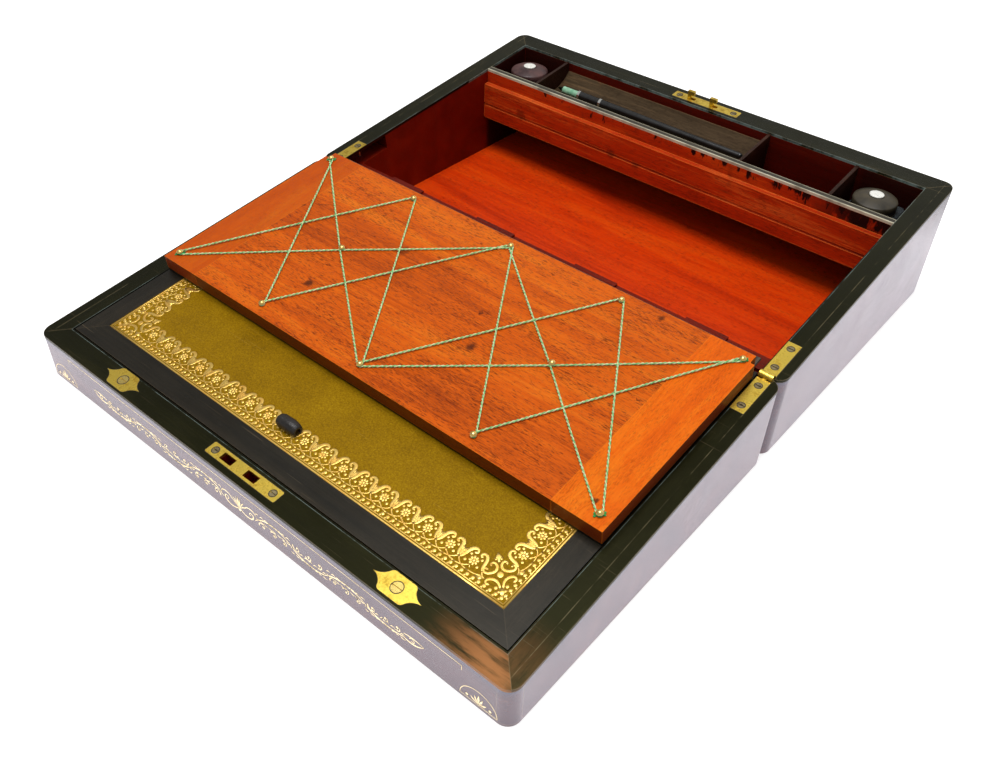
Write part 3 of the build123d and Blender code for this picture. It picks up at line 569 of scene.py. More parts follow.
# bright colour, dull colour, lowest and highest roughness, tarnish
metalLooks = {
    "plateBrass": ((250, 216, 92), (150, 112, 26), (0.30, 0.50), 0.75),
    "screwBrass": ((250, 222, 130), (140, 104, 40), (0.25, 0.42), 0.7),
    "pinBrass": ((250, 216, 130), (160, 120, 50), (0.2, 0.4), 0.5),
    "screwSteel": ((176, 160, 120), (60, 48, 30), (0.3, 0.5), 0.85),
    "inlayBrass": ((255, 238, 190), (206, 176, 120), (0.30, 0.50), 0.5),
    "goldLeaf": ((255, 216, 118), (222, 156, 52), (0.34, 0.52), 0.6),
    "nibSteel": ((60, 92, 74), (22, 34, 28), (0.25, 0.45), 0.5),
    "bandSilver": ((235, 236, 230), (140, 138, 128), (0.15, 0.3), 0.3),
}


def metal(name, bright, dull, rough, tarnish):
    material, tree, shader = newMaterial(name)
    place = objectPlace(tree)
    cloud, fine = noise(place, 170.0, 5, 0.7), noise(place, 900.0, 3, 0.6)
    dulled = remap(plus(times(cloud, 0.75), times(fine, 0.25)), 0.42, 0.66, 0.0, tarnish)
    scars = useGroup(tree, scratches, Amount=0.5)[0]
    color = tinted(tinted(rgb(*bright), dulled, rgb(*dull)), scars, shaded(rgb(*dull), 0.5))
    fill(shader, color, remap(cloud, 0.35, 0.7, *rough), minus(fine, scars), 0.00003, 0.5, Metallic=1.0)
    return material


def writingLeather(name):
    material, tree, shader = newMaterial(name)
    place = objectPlace(tree)
    grain = useGroup(tree, leatherGrain, Scale=1300.0)
    broad = streaky(place, (7, 12, 12), 4, 0.6, 0.4)
    fine = noise(place, 950.0, 3, 0.75)
    tone = plus(times(grain["Mottle"], 0.22), plus(times(broad, 0.20), times(fine, 0.58)))
    color = ramp(tone, (0.34, 0.50, 0.68), ((110, 80, 0), (144, 107, 1), (176, 138, 14)))
    color = scarred(color, 0.30, rgb(196, 160, 70))
    color = tinted(color, useGroup(tree, spots, Scale=60.0, Share=0.05)[0], rgb(70, 48, 10), 0.35)
    fill(shader, color, remap(grain["Mottle"], 0.3, 0.7, 0.42, 0.58), grain["Height"], 0.00006, 0.6,
         Specular_IOR_Level=0.15, Specular_Tint=(1.0, 0.80, 0.42))
    return material


def blackLeather(name):
    material, tree, shader = newMaterial(name)
    grain = useGroup(tree, leatherGrain, Scale=1000.0)
    color = ramp(grain["Mottle"], (0.35, 0.70), ((12, 10, 9), (44, 38, 34)))
    color = edgeWorn(color, 0.0006, 0.6, 300.0, rgb(110, 96, 80), 0.6)
    fill(shader, color, 0.42, grain["Height"], 0.00006, 0.6)
    return material


threadLooks = {"creamThread": ((216, 232, 160), (246, 252, 206)),
               "greenThread": ((84, 196, 110), (160, 240, 160)), "knotThread": ((16, 120, 48), (54, 196, 96))}


def thread(name, dark, light):
    material, tree, shader = newMaterial(name)
    place = objectPlace(tree)
    fuzz, worn = noise(place, 1500.0, 3, 0.7), noise(place, 45.0, 3, 0.6)
    color = ramp(plus(times(fuzz, 0.5), times(worn, 0.5)), (0.35, 0.65), (dark, light))
    fill(shader, color, 0.85, fuzz, 0.0001, 0.6, Sheen_Weight=0.3)
    return material


# dark colour, light colour, roughness, coat, fineness of the clouding
polishedLooks = {
    "turnedHorn": ((54, 32, 33), (104, 70, 66), 0.50, 0.0, 60.0),
    "turnedOlive": ((34, 30, 20), (76, 66, 46), 0.50, 0.0, 60.0),
    # the dark of the painted shade rings round the screw heads
    "grime": ((10, 8, 5), (40, 30, 18), 0.8, 0.0, 300.0),
    "mastic": ((16, 10, 10), (44, 32, 32), 0.62, 0.0, 300.0),
    "blackLacquer": ((8, 8, 8), (26, 25, 24), 0.30, 0.25, 60.0),
    "mintPaint": ((118, 178, 142), (176, 218, 186), 0.3, 0.4, 200.0),
    "pearl": ((226, 224, 214), (252, 250, 244), 0.25, 0.3, 400.0),
}


def polished(name, dark, light, rough, coat, scale):
    material, tree, shader = newMaterial(name)
    place = objectPlace(tree)
    cloud = noise(place, scale, 5, 0.65)
    color = ramp(cloud, (0.35, 0.68), (dark, light))
    color = edgeWorn(color, 0.0005, 0.4, 200.0, shaded(rgb(*light), 1.8, 0.05), 0.5)
    color = scarred(color, 0.3, shaded(rgb(*light), 1.5, 0.03))
    fill(shader, color, remap(cloud, 0.3, 0.7, rough * 0.8, rough * 1.3), noise(place, 700.0, 3), 0.00003,
         0.3, Coat_Weight=coat, Coat_Roughness=0.08)
    return material


def bottleGlass(name):
    # painted shade: the glass is tinted dark and clouded, for bottles that stand in the shade of their
    # compartments
    material, tree, shader = newMaterial(name)
    shadeFilm = remap(noise(objectPlace(tree), 120.0, 4, 0.7), 0.45, 0.75)
    setIn(shader, Base_Color=tinted(rgb(112, 120, 124), shadeFilm, rgb(34, 36, 44)),
          Roughness=remap(shadeFilm, 0.0, 1.0, 0.08, 0.40), Transmission_Weight=0.75, IOR=1.3)
    return material


finishes = {name: mahogany(name) for name in mahoganyLooks}
finishes |= {name: darkVeneer(name) for name in veneerLooks}
for make, looks in ((metal, metalLooks), (thread, threadLooks), (polished, polishedLooks)):
    finishes |= {name: make(name, *look) for name, look in looks.items()}
finishes |= {"oliveLeather": writingLeather("oliveLeather"), "blackLeather": blackLeather("blackLeather"),
             "bottleGlass": bottleGlass("bottleGlass")}
print("finishes made:", len(finishes))


# The carried-over nodes: a finish each, and a small round on their arrises
arris = {"wood": 0.30 * mm, "metal": 0.15 * mm, "segments": 2, "above": 40}
dressed = {
    "rimVeneer": ("main_rim_facing", "lid_rim_facing"),
    "capVeneer": ("fascia_cap",),
    "sideVeneer": ("main_veneer", "main_corner_posts", "lid_veneer", "lid_corner_posts", "lid_panel_veneer"),
    "lowerBorderVeneer": ("lower_flap_border",),
    "upperBorderVeneer": ("upper_flap_border",),
    "flapBoard": ("upper_flap_board", "lower_flap_board"),
    "flapClamps": ("upper_flap_clamps",),
    "wellWood": ("main_bottom", "lid_panel"),
    "shadedWallWood": ("main_carcass", "lid_carcass", "main_front_bearer", "lid_bearers"),
    "fasciaWood": ("fascia_board",),
    "ledgeWood": ("fascia_ledge",),
    "trayWood": ("pen_trough",),
    "darkTray": ("tray_floor", "compartment_partitions"),
    "plateBrass": ("lock_case", "lock_selvedge", "lock_hooks", "escutcheon", "hinge_main_leaves",
                   "hinge_lid_leaves", "hinge_pins", "strike_plate", "cartouche_plates", "lower_flap_pivots"),
    "pinBrass": ("letter_rack_pins",),
    "screwSteel": ("lock_selvedge_screws", "hinge_main_screws", "hinge_lid_screws", "strike_screws"),
    "screwBrass": ("cartouche_screws",),
    "oliveLeather": ("lower_flap_leather", "upper_flap_leather"),
    "bottleGlass": ("inkwell_left_bottle", "inkwell_right_bottle"),
    "blackLacquer": ("pen_holder",),
    "bandSilver": ("pen_bands",),
    "mintPaint": ("pen_ferrule",),
    "nibSteel": ("pen_nib",),
}
for finish, names in dressed.items():
    fine = finish in metalLooks or finish == "mintPaint"
    for name in names:
        node = nodes[name]
        node.data.materials.clear()
        node.data.materials.append(finishes[finish])
        if finish in ("bottleGlass", "oliveLeather", "blackLacquer") or name == "hinge_pins":
            continue
        edge = node.modifiers.new("arris", "BEVEL")
        edge.width, edge.segments = arris["metal" if fine else "wood"], arris["segments"]
        edge.limit_method, edge.angle_limit = "ANGLE", math.radians(arris["above"])
        edge.use_clamp_overlap = True
print("nodes dressed")


# Meshes

def makePiece(name, verts, faces, finish, body, slot):
    mesh = bpy.data.meshes.new(name)
    mesh.from_pydata([tuple(v) for v in verts], [], faces)
    work = bmesh.new()
    work.from_mesh(mesh)
    bmesh.ops.recalc_face_normals(work, faces=work.faces)
    work.to_mesh(mesh)
    work.free()
    mesh.materials.append(finishes[finish])
    mesh.polygons.foreach_set("use_smooth", [True] * len(mesh.polygons))
    piece = addPiece(name, mesh)
    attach(piece, body)
    return piece


def joinRings(work, rings, hollow=False):
    # rings of equal length become one closed solid, capped, or with its last ring joined to its first
    verts, faces = work
    first, count = len(verts), len(rings[0])
    for ring in rings:
        verts.extend(ring)
    for i in range(len(rings) if hollow else len(rings) - 1):
        a, b = first + i * count, first + (i + 1) % len(rings) * count
        faces.extend((a + j, a + (j + 1) % count, b + (j + 1) % count, b + j) for j in range(count))
    if not hollow:
        faces.append(tuple(range(first, first + count))[::-1])
        faces.append(tuple(range(len(verts) - count, len(verts))))
    return work


def turned(profile, centre, sides, hollow=False):
    # a turned solid; profile: (radius, height) pairs
    x, y, z = centre
    rings = [[Vector((*around(x, y, radius, turn), z + height)) for turn in circle(sides)]
             for radius, height in profile]
    return joinRings(([], []), rings, hollow)


def bezier(p0, p1, p2, p3, count=8):
    points = []
    for t in spread(count):
        w = ((1 - t) ** 3, 3 * t * (1 - t) ** 2, 3 * t * t * (1 - t), t ** 3)
        points.append(tuple(sum(k * p[i] for k, p in zip(w, (p0, p1, p2, p3))) for i in (0, 1)))
    return points


def volute(centre, start, end, fromRadius, toRadius, count=8):
    # a curl about centre, angles in degrees
    return [around(*centre, between(fromRadius, toRadius, t), math.radians(between(start, end, t)))
            for t in spread(count)]


def moved(points, shift=0, way=1, up=0):
    # points shifted along u and v, and mirrored first when way is -1
    return [(shift + way * u, v + up) for u, v in points]


# Raised line work: each stroke or bead is a closed solid, laid on its ground by place(u, v, height)

lineWork = {"rise": 0.09 * mm, "sink": 0.05 * mm, "inlayRise": 0.03 * mm, "inlaySink": 0.2 * mm}


def addStroke(work, place, points, widths, rise, sink):
    last = len(points) - 1
    rings = []
    for i, (u, v) in enumerate(points):
        before, after = points[max(i - 1, 0)], points[min(i + 1, last)]
        du, dv = after[0] - before[0], after[1] - before[1]
        length = math.hypot(du, dv) or 1.0
        share = i / last * (len(widths) - 1)
        step = min(int(share), len(widths) - 2)
        half = between(widths[step], widths[step + 1], share - step) / 2
        nu, nv = -dv / length * half, du / length * half
        rings.append([place(u + nu, v + nv, -sink), place(u + nu * 0.5, v + nv * 0.5, rise),
                      place(u - nu * 0.5, v - nv * 0.5, rise), place(u - nu, v - nv, -sink)])
    joinRings(work, rings)


def addBead(work, place, u, v, radius, rise, sink, sides=7, longer=1.0, turn=0.0):
    rings = []
    for share, height in ((1.0, -sink), (0.95, 0.0), (0.6, rise), (0.2, rise * 1.3)):
        ring = []
        for angle in circle(sides):
            a, b = radius * share * longer * math.cos(angle), radius * share * math.sin(angle)
            ring.append(place(u + a * math.cos(turn) - b * math.sin(turn),
                              v + a * math.sin(turn) + b * math.cos(turn), height))
        rings.append(ring)
    joinRings(work, rings)


def penFor(work, place, bolder, rise, sink, sides=7, wider=0.0):
    # two ways to draw on a ground: a stroke and a bead
    def draw(points, widths, bolder=bolder):
        addStroke(work, place, points, [w * bolder + wider for w in widths], rise, sink)

    def dot(u, v, radius, longer=1.0, turn=0.0):
        addBead(work, place, u, v, radius * bolder + wider / 2, rise, sink, sides, longer, turn)
    return draw, dot


def tulipLeaf(side):
    # one of a tulip's two curled leaves, from its foot to the eye of its curl
    points = (bezier((0.3, 9.9), (2.2, 11.6), (1.5, 14.6), (2.7, 17.0))
              + bezier((2.7, 17.0), (3.6, 19.3), (6.8, 19.5), (6.9, 17.5), 6)[1:]
              + volute((6.0, 17.3), 10, -150, 0.95, 0.5, 5)[1:])
    return moved(points, way=side)


def borderUnit(draw, dot, middle, pitch):
    # one repeat of the tooled border, about u = middle, v inward from the leather's edge
    half = pitch / 2
    draw(moved(bezier((-half, 9.4), (-half + 2, 7.2), (-3.5, 6.0), (0, 6.0)), middle), (0.7, 0.8, 0.85))
    draw(moved(bezier((0, 6.0), (3.5, 6.0), (half - 2, 7.2), (half, 9.4)), middle), (0.85, 0.8, 0.7))
    for side in (1, -1):
        stem = bezier((0.2, 10.4), (1.4, 7.4), (half - 3.5, 6.1), (half, 6.1))
        petal = bezier((0.5, 10.8), (0.9, 12.4), (0.9, 14.2), (1.5, 16.6), 5)
        draw(moved(stem, middle, side), (1.0, 0.7, 0.8))
        draw(moved(tulipLeaf(1), middle, side), (1.3, 2.5, 2.8, 2.4, 1.7, 1.5, 1.7))
        draw(moved(petal, middle, side), (1.1, 1.6, 1.3))
        dot(middle + side * 4.5, 14.9, 0.80)
        dot(middle + side * 4.0, 10.2, 0.85)
    draw(moved([(0, 9.4), (0, 12.0), (0, 14.4), (0, 16.0)], middle), (1.5, 2.1, 1.9, 1.4))


def borderJoint(draw, dot, u):
    # eight-petalled rosette where two repeats meet, on its short stem
    for k in range(8):
        turn = math.radians(45 * k + 22.5)
        dot(*around(u, 12.5, 1.95, turn), 0.74, 1.35, turn)
    dot(u, 12.5, 0.85)
    draw([(u - 0.1, 9.7), (u + 0.3, 8.6), (u + 1.4, 7.6)], (0.7, 0.6, 0.6))


def borderEnd(draw, dot, foot, way, pitch):
    # half a tulip beside a corner, its stem running into the corner's scrolls
    draw(moved(tulipLeaf(-way), foot), (1.2, 2.1, 2.3, 2.1, 1.6, 1.4, 1.6))
    draw(moved(bezier((-0.2, 10.2), (0.0, 8.8), (1.4, 7.6), (3.4, 7.4), 5), foot, way), (1.0, 0.9, 0.7))
    draw(moved(bezier((-pitch / 2, 6.1), (-4.0, 6.1), (-1.4, 6.6), (1.0, 8.0), 6), foot, way), (0.8, 0.8))
    for u, v in ((-4.5, 14.9), (-4.0, 10.2)):
        dot(foot + way * u, v, 0.8)


def cornerOrnament(draw, dot):
    # four scrolls about a boss, on the diagonal; u is across it, v along it toward the middle of the panel
    dot(0, 0, 1.9)
    draw([(0, 7.2), (0, 8.4), (0, 10.2), (0, 11.6), (0, 13.6)], (1.8, 1.5, 4.0, 2.2, 0.3))
    draw([(0, -7.6), (0, -10.0), (0, -13.2)], (1.2, 3.8, 0.4))
    inner = (volute((3.3, 6.3), -40, 150, 0.45, 1.55, 7)
             + bezier((1.95, 7.1), (0.5, 5.4), (0.9, 2.4), (3.5, 1.7), 6)[1:]
             + bezier((3.5, 1.7), (5.8, 1.1), (8.7, 1.5), (8.3, 4.0), 6)[1:]
             + volute((7.2, 3.9), 5, 200, 1.1, 0.45, 5)[1:])
    outer = (volute((6.5, -3.9), -110, 90, 0.65, 1.9, 7)
             + bezier((6.5, -2.0), (3.6, -1.6), (0.9, -3.4), (0.75, -8.4), 8)[1:])
    for side in (1, -1):
        for points, widths in ((inner, (2.0, 1.2, 1.7, 1.9, 1.7, 1.2, 2.0)),
                               (outer, (2.0, 1.2, 1.8, 1.9, 1.2)),
                               (((12.8, 1.2), (10.6, -0.5), (8.9, -1.0)), (0.7, 2.9, 1.2)),
                               (((0.4, 9.1), (1.5, 9.2), (2.3, 10.2)), (0.8, 1.3, 0.6)),
                               (((0.3, -9.0), (1.8, -10.1), (3.0, -9.4)), (0.9, 1.7, 0.7))):
            draw(moved(points, way=side), widths)
        dot(side * 2.9, -7.4, 1.1)


tooling = {"cornerReach": 30.5, "pitch": 16.3, "cornerCentre": 14.3, "beadPitch": 3.75, "bolder": 1.18,
           "cornerBolder": 1.22, "lines": ((0.8, 1.25), (2.15, 0.75)), "x": 167.9, "top": -16.0,
           "lowerEnd": -216.5, "upperEnd": -141.5, "ground": 0.55}


def toolSide(draw, dot, length):
    # one edge of a panel: two lines, a row of beads, the repeats and an end by each corner
    for v, width in tooling["lines"]:
        draw([(u, v) for u in spread(max(2, int(length / 30)), v, length - v)], (width, width), 1.0)
    beads = int((length - 8) / tooling["beadPitch"])
    for i in range(beads):
        u = between(4.0, length - 4.0, (i + 0.5) / beads)
        draw([(u - 0.9, 2.2), (u - 0.2, 3.0), (u + 0.5, 4.0)], (0.7, 1.2, 1.9))
        dot(u + 0.65, 4.25, 1.05)
    reach = tooling["cornerReach"]
    units = round((length - 2 * reach) / tooling["pitch"])
    pitch = (length - 2 * reach) / units
    for i in range(units + 1):
        joint = reach + i * pitch
        borderJoint(draw, dot, joint)
        if i < units:
            borderUnit(draw, dot, joint + pitch / 2, pitch)
    for end, way in ((reach, -1), (length - reach, 1)):
        borderEnd(draw, dot, end + way * pitch / 2, way, pitch)


def toolPanel(flap, s0, out):
    # out: 1 for a leather that faces up at rest, -1 for one that faces down
    x1, s1 = tooling["x"], tooling["top"]
    x0, n = -x1, -out * tooling["ground"] * mm
    work, heights = ([], []), (lineWork["rise"], lineWork["sink"])
    wide, deep = x1 - x0, s1 - s0
    sides = (((x0, s0), (1, 0), (0, 1), wide), ((x1, s0), (0, 1), (-1, 0), deep),
             ((x1, s1), (-1, 0), (0, -1), wide), ((x0, s1), (0, -1), (1, 0), deep))
    for start, along, inward, length in sides:
        def edgePlace(u, v, height):
            return onSlope((start[0] + along[0] * u + inward[0] * v) * mm,
                           (start[1] + along[1] * u + inward[1] * v) * mm, n + out * height)

        toolSide(*penFor(work, edgePlace, tooling["bolder"], *heights), length)
    for cornerX, cornerS, wayX, wayS in ((x0, s0, 1, 1), (x1, s0, -1, 1), (x1, s1, -1, -1), (x0, s1, 1, -1)):
        def cornerPlace(u, v, height):
            centre = tooling["cornerCentre"]
            a, b = (v + u) / math.sqrt(2), (v - u) / math.sqrt(2)
            return onSlope((cornerX + wayX * (centre + a)) * mm, (cornerS + wayS * (centre + b)) * mm,
                           n + out * height)

        # only the strokes are bolder here; the beads keep their size
        pens = [penFor(work, cornerPlace, bolder, *heights, 9) for bolder in (tooling["cornerBolder"], 1)]
        cornerOrnament(pens[0][0], pens[1][1])
    makePiece(f"{flap}_tooling", *work, "goldLeaf", flap, "writing_leather")


toolPanel("lower_flap", tooling["lowerEnd"], 1)
toolPanel("upper_flap", tooling["upperEnd"], -1)
print("gold tooling laid")


# Brass inlay in the lid's front face, drawn in mm across and up

frontInlay = {"stringHeight": 25.4, "stringHalf": 169.0, "stringWidth": 0.75, "tick": 3.6,
              "scrollHalf": 144.0, "scrollHeight": 12.6, "archOuter": 192.0, "archInner": 168.0,
              "archBase": 2.6, "archTop": 14.0, "bolder": 1.5, "waves": 4, "scrollStart": 14.0,
              "mastic": 0.55, "masticRise": 0.012 * mm}


def inlayScroll(draw, dot, half):
    # right-hand half of the scroll, u from the middle outward, v about its line
    waves, inset = frontInlay["waves"], frontInlay["scrollStart"]
    tail = half - inset
    for k in range(waves):
        start, end = between(inset, tail, k / waves), between(inset, tail, (k + 1) / waves)
        reach, way = end - start, 1 if k % 2 == 0 else -1
        lift = between(4.6, 2.6, k / waves)
        draw(bezier((start, -way * lift * 0.4), (start + reach * 0.3, way * lift * 1.5),
                    (start + reach * 0.7, way * lift * 1.4), (end, way * lift * 0.4), 10), (0.8, 1.5, 0.7))
        for share, size, turn in ((0.22, 3.4, 200), (0.55, 2.9, 160), (0.85, 2.4, 120)):
            centre = (start + reach * share, -way * lift * 0.55)
            draw(volute(centre, turn * way, (turn - 300) * way, size, 0.7, 12), (1.2, 0.7, 0.5, 0.9))
            dot(*centre, 0.55)
        for leaf in range(8):
            # leaves along the stem, the outer row longer than the inner one
            u = start + reach * (leaf + 0.3) / 8
            lean = 3.8 if leaf % 2 else 2.8
            for rise, under in ((0.9, 1), (0.35, -1)):
                foot, curl = way * lift * rise, way * under
                draw(bezier((u, foot), (u + 0.8, foot + curl * 1.2), (u + 2.0, foot + curl * 1.6),
                            (u + lean, foot + curl * 0.6), 4), (0.3, 1.0, 0.2))
    draw(bezier((tail, -1.4), (tail + 5, -3.2), (tail + 10, -1.6), (half, 2.2), 8), (1.0, 1.5, 0.3))
    draw(bezier((tail, 1.8), (tail + 5, 3.6), (tail + 10, 3.4), (half, 2.2), 8), (0.8, 1.0, 0.3))
    draw(volute((tail + 6, 0.4), 160, -160, 2.2, 0.6, 10), (0.9, 0.5, 0.8))


def inlayCentre(draw, dot):
    # palmette between two pairs of scrolls
    for side in (1, -1):
        for lean, tall, wide in ((1.6, 6.6, 1.2), (3.6, 5.0, 1.3), (5.4, 2.8, 1.2)):
            draw([(side * lean * 0.15, -1.6), (side * lean * 0.7, tall * 0.45), (side * lean * 1.3, tall)],
                 (0.4, wide, 0.3))
        draw(moved(bezier((0.4, -2.0), (6, -6.4), (12, -4.6), (12.6, -0.6), 8)
                   + volute((10.4, -0.4), 0, 250, 2.2, 0.7, 9)[1:], way=side), (0.8, 1.4, 0.8, 0.9))
        draw(moved(bezier((5.4, 2.4), (9, 6.0), (14, 5.4), (15.4, 2.2), 8), way=side), (0.5, 1.2, 0.6))
    draw([(0, -1.6), (0, 3.0), (0, 7.6)], (0.5, 1.6, 0.3))
    dot(0, -3.4, 1.0)


def inlayArch(draw, dot, middle, span):
    # a corner arch with a spray of five leaves in it
    base = frontInlay["archBase"]
    tall = frontInlay["archTop"] - base
    draw([(middle + span * math.cos(turn), base + tall * math.sin(turn)) for turn in spread(16, 0, math.pi)],
         (0.5, 0.5))
    draw([(middle - span, base), (middle, base), (middle + span, base)], (0.5, 0.5))
    for lean, high, wide in ((-5.0, 3.6, 1.6), (-2.6, 6.2, 1.5), (0, 8.2, 1.9), (2.6, 6.2, 1.5),
                             (5.0, 3.6, 1.6)):
        draw([(middle, base + 0.8), (middle + lean * 0.7, base + high * 0.6), (middle + lean, base + high)],
             (0.5, wide, 0.3))
    dot(middle - span * 0.62, base + 2.2, 0.8)
    dot(middle + span * 0.62, base + 2.2, 0.8)


def layInlay(wider, rise):
    look, work = frontInlay, ([], [])
    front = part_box("lid_veneer")[0].y
    end, high, width = look["stringHalf"], look["stringHeight"], look["stringWidth"]
    outer, inner, up = look["archOuter"], look["archInner"], look["scrollHeight"]

    def wall(u, v, height):
        return Vector((u * mm, front - height, v * mm))

    draw, dot = penFor(work, wall, look["bolder"], rise, lineWork["inlaySink"], 6, wider)

    def sided(side):
        return (lambda p, w: draw(moved(p, 0, side, up), w)), (lambda u, v, r: dot(side * u, v + up, r))

    draw([(u, high) for u in spread(12, -end, end)], (width, width), 1.0)
    inlayCentre(*sided(1))
    for side in (1, -1):
        draw([(side * end, high + width / 2), (side * end, high - look["tick"])], (width, width), 1.0)
        inlayScroll(*sided(side), look["scrollHalf"])
        inlayArch(draw, dot, side * (outer + inner) / 2, (outer - inner) / 2)
    return work


makePiece("lid_front_inlay", *layInlay(0.0, lineWork["inlayRise"]), "inlayBrass", "lid", "brass")
bed = layInlay(frontInlay["mastic"], frontInlay["masticRise"])
makePiece("lid_front_inlay_mastic", *bed, "mastic", "lid", "dark_veneer")
print("front inlay laid")


# Letter rack: two-ply cord laced between the pins, and a green knot at each corner pin

rack = {"boardTop": 11.75, "lift": 1.0, "step": 0.17, "strand": 0.42, "offset": 0.36, "lay": 5.2,
        "nearRow": -8.5, "farRow": -149.06, "outer": 176.0, "inner": 90.0, "turnRadius": 1.45, "sag": 0.25,
        "every": 0.9, "turnLift": 0.65, "turnStep": 0.62, "turnStrand": 0.30, "turnOffset": 0.22,
        "turnLay": 4, "sides": 5,
        "over": "hinge0-left left-far2 far0-left left-hinge2 hinge2-right right-far4 far2-right right-hinge4",
        "above": "hinge0-far1 far1-hinge2 far0-hinge1 hinge1-far2 hinge2-far3 far3-hinge4 far2-hinge3 "
                 "hinge3-far4"}


def rackPins():
    places = (-rack["outer"], -rack["inner"], 0.0, rack["inner"], rack["outer"])
    middle = (rack["nearRow"] + rack["farRow"]) / 2
    pins = {f"hinge{i}": (x, rack["nearRow"]) for i, x in enumerate(places)}
    pins |= {f"far{i}": (x, rack["farRow"]) for i, x in enumerate(places)}
    return pins | {"left": (places[1], middle), "right": (places[3], middle)}


def twistedCord(strands, path, radius, offset, lay, twist=0.0):
    # two strands laid round each other along a path of points, each added to its own mesh; sizes in mm
    length = 0.0
    radius, offset, lay = radius * mm, offset * mm, lay * mm
    rings = ([], [])
    up = slopeUp.normalized()
    for i, point in enumerate(path):
        ahead = (path[min(i + 1, len(path) - 1)] - path[max(i - 1, 0)]).normalized()
        across = ahead.cross(up).normalized()
        over = across.cross(ahead)
        if i:
            length += (point - path[i - 1]).length
        for strand in (0, 1):
            turn = 2 * math.pi * length / lay + math.pi * strand + twist
            middle = point + offset * (math.cos(turn) * across + math.sin(turn) * over)
            rings[strand].append([middle + radius * (math.cos(a) * across + math.sin(a) * over)
                                  for a in (angle + turn for angle in circle(rack["sides"]))])
    for work, strand in zip(strands, rings):
        joinRings(work, strand)


def roundPin(x, s, n, radius, start, step, count):
    return [onSlopeMm(*around(x, s, radius, start + k * step), n) for k in range(count)]


def laceRack(pins):
    cream, green = strands = ([], []), ([], [])
    for runs, level in ((rack["over"], -1), (rack["above"], 1)):
        n = rack["boardTop"] + rack["lift"] + level * rack["step"]
        for run in runs.split():
            a, b = (Vector(pins[name]) for name in run.split("-"))
            along = (b - a).normalized()
            flat = Vector((-along.y, along.x))
            side = flat * rack["turnRadius"] * level
            a, b = a + side, b + side
            count = int((b - a).length / rack["every"])
            bow = rng.uniform(-rack["sag"], rack["sag"])
            spots = [a.lerp(b, t) + flat * bow * math.sin(math.pi * t) for t in spread(count)]
            twistedCord(strands, [onSlopeMm(spot.x, spot.y, n) for spot in spots], rack["strand"],
                        rack["offset"], rack["lay"], rng.uniform(0, 6))
    for x, s in pins.values():
        for turns in (0, 1):
            path = roundPin(x, s, rack["boardTop"] + rack["turnLift"] + rack["turnStep"] * turns,
                            rack["turnRadius"], rng.uniform(0, 6), 0.34, 19)
            twistedCord(strands, path, rack["turnStrand"], rack["turnOffset"], rack["turnLay"])
    for name, strand in (("cream", cream), ("green", green)):
        cord = makePiece(f"rack_cord_{name}", *strand, f"{name}Thread", "upper_flap", "rack_cord")
        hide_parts("letter_rack_cord")


knot = {"spin": 0.60, "stray": 0.12, "level": 0.42, "arch": 0.08, "lobes": ((0.40, 2.2), (-0.15, 1.8)),
        "strand": 0.27, "offset": 0.19, "lay": 3, "turnLevels": (0.75, 1.25), "turnRadius": 1.8,
        "start": 1.3, "width": 1.9, "steps": 12, "pins": ("hinge0", "hinge4", "far0", "far4")}


def tieKnot(work, x, s):
    # a small tied bow: two loops, two ends and a turn between them, lying flat enough for the box to close
    n = rack["boardTop"] + knot["level"]
    spin = knot["spin"] + rng.uniform(-knot["stray"], knot["stray"])
    paths = []
    for side in (0, math.pi):
        for splay, reach in knot["lobes"]:
            turn = spin + splay + side
            out = Vector((math.cos(turn), math.sin(turn)))
            flat = Vector((-out.y, out.x))
            path = []
            for t in spread(knot["steps"]):
                arch = math.sin(math.pi * t)
                spot = Vector((x, s)) + out * (knot["start"] + reach * arch ** 0.8)
                spot += flat * (t - 0.5) * knot["width"] * arch
                path.append(onSlopeMm(spot.x, spot.y, n + knot["arch"] * arch))
            paths.append(path)
    paths += [roundPin(x, s, rack["boardTop"] + level, knot["turnRadius"], 0, 0.36, 18)
              for level in knot["turnLevels"]]
    for path in paths:
        twistedCord((work, work), path, knot["strand"], knot["offset"], knot["lay"])


pins = rackPins()
laceRack(pins)
knots = ([], [])
for pin in knot["pins"]:
    tieKnot(knots, *pins[pin])
makePiece("rack_cord_knots", *knots, "knotThread", "upper_flap", "rack_cord")
print("letter rack laced")


# Inkwell caps, turned and hollow, each with a pearl disc; sizes in mm

cap = {"radius": 16.0, "skirt": 8.4, "wall": 1.8, "discRadius": 5.2, "seat": 6.0, "sides": 72,
       "discSides": 48, "disc": ((0.98, 0.0), (1, 0.4), (1, 0.7), (0.93, 0.95), (0.6, 1), (0.05, 1))}


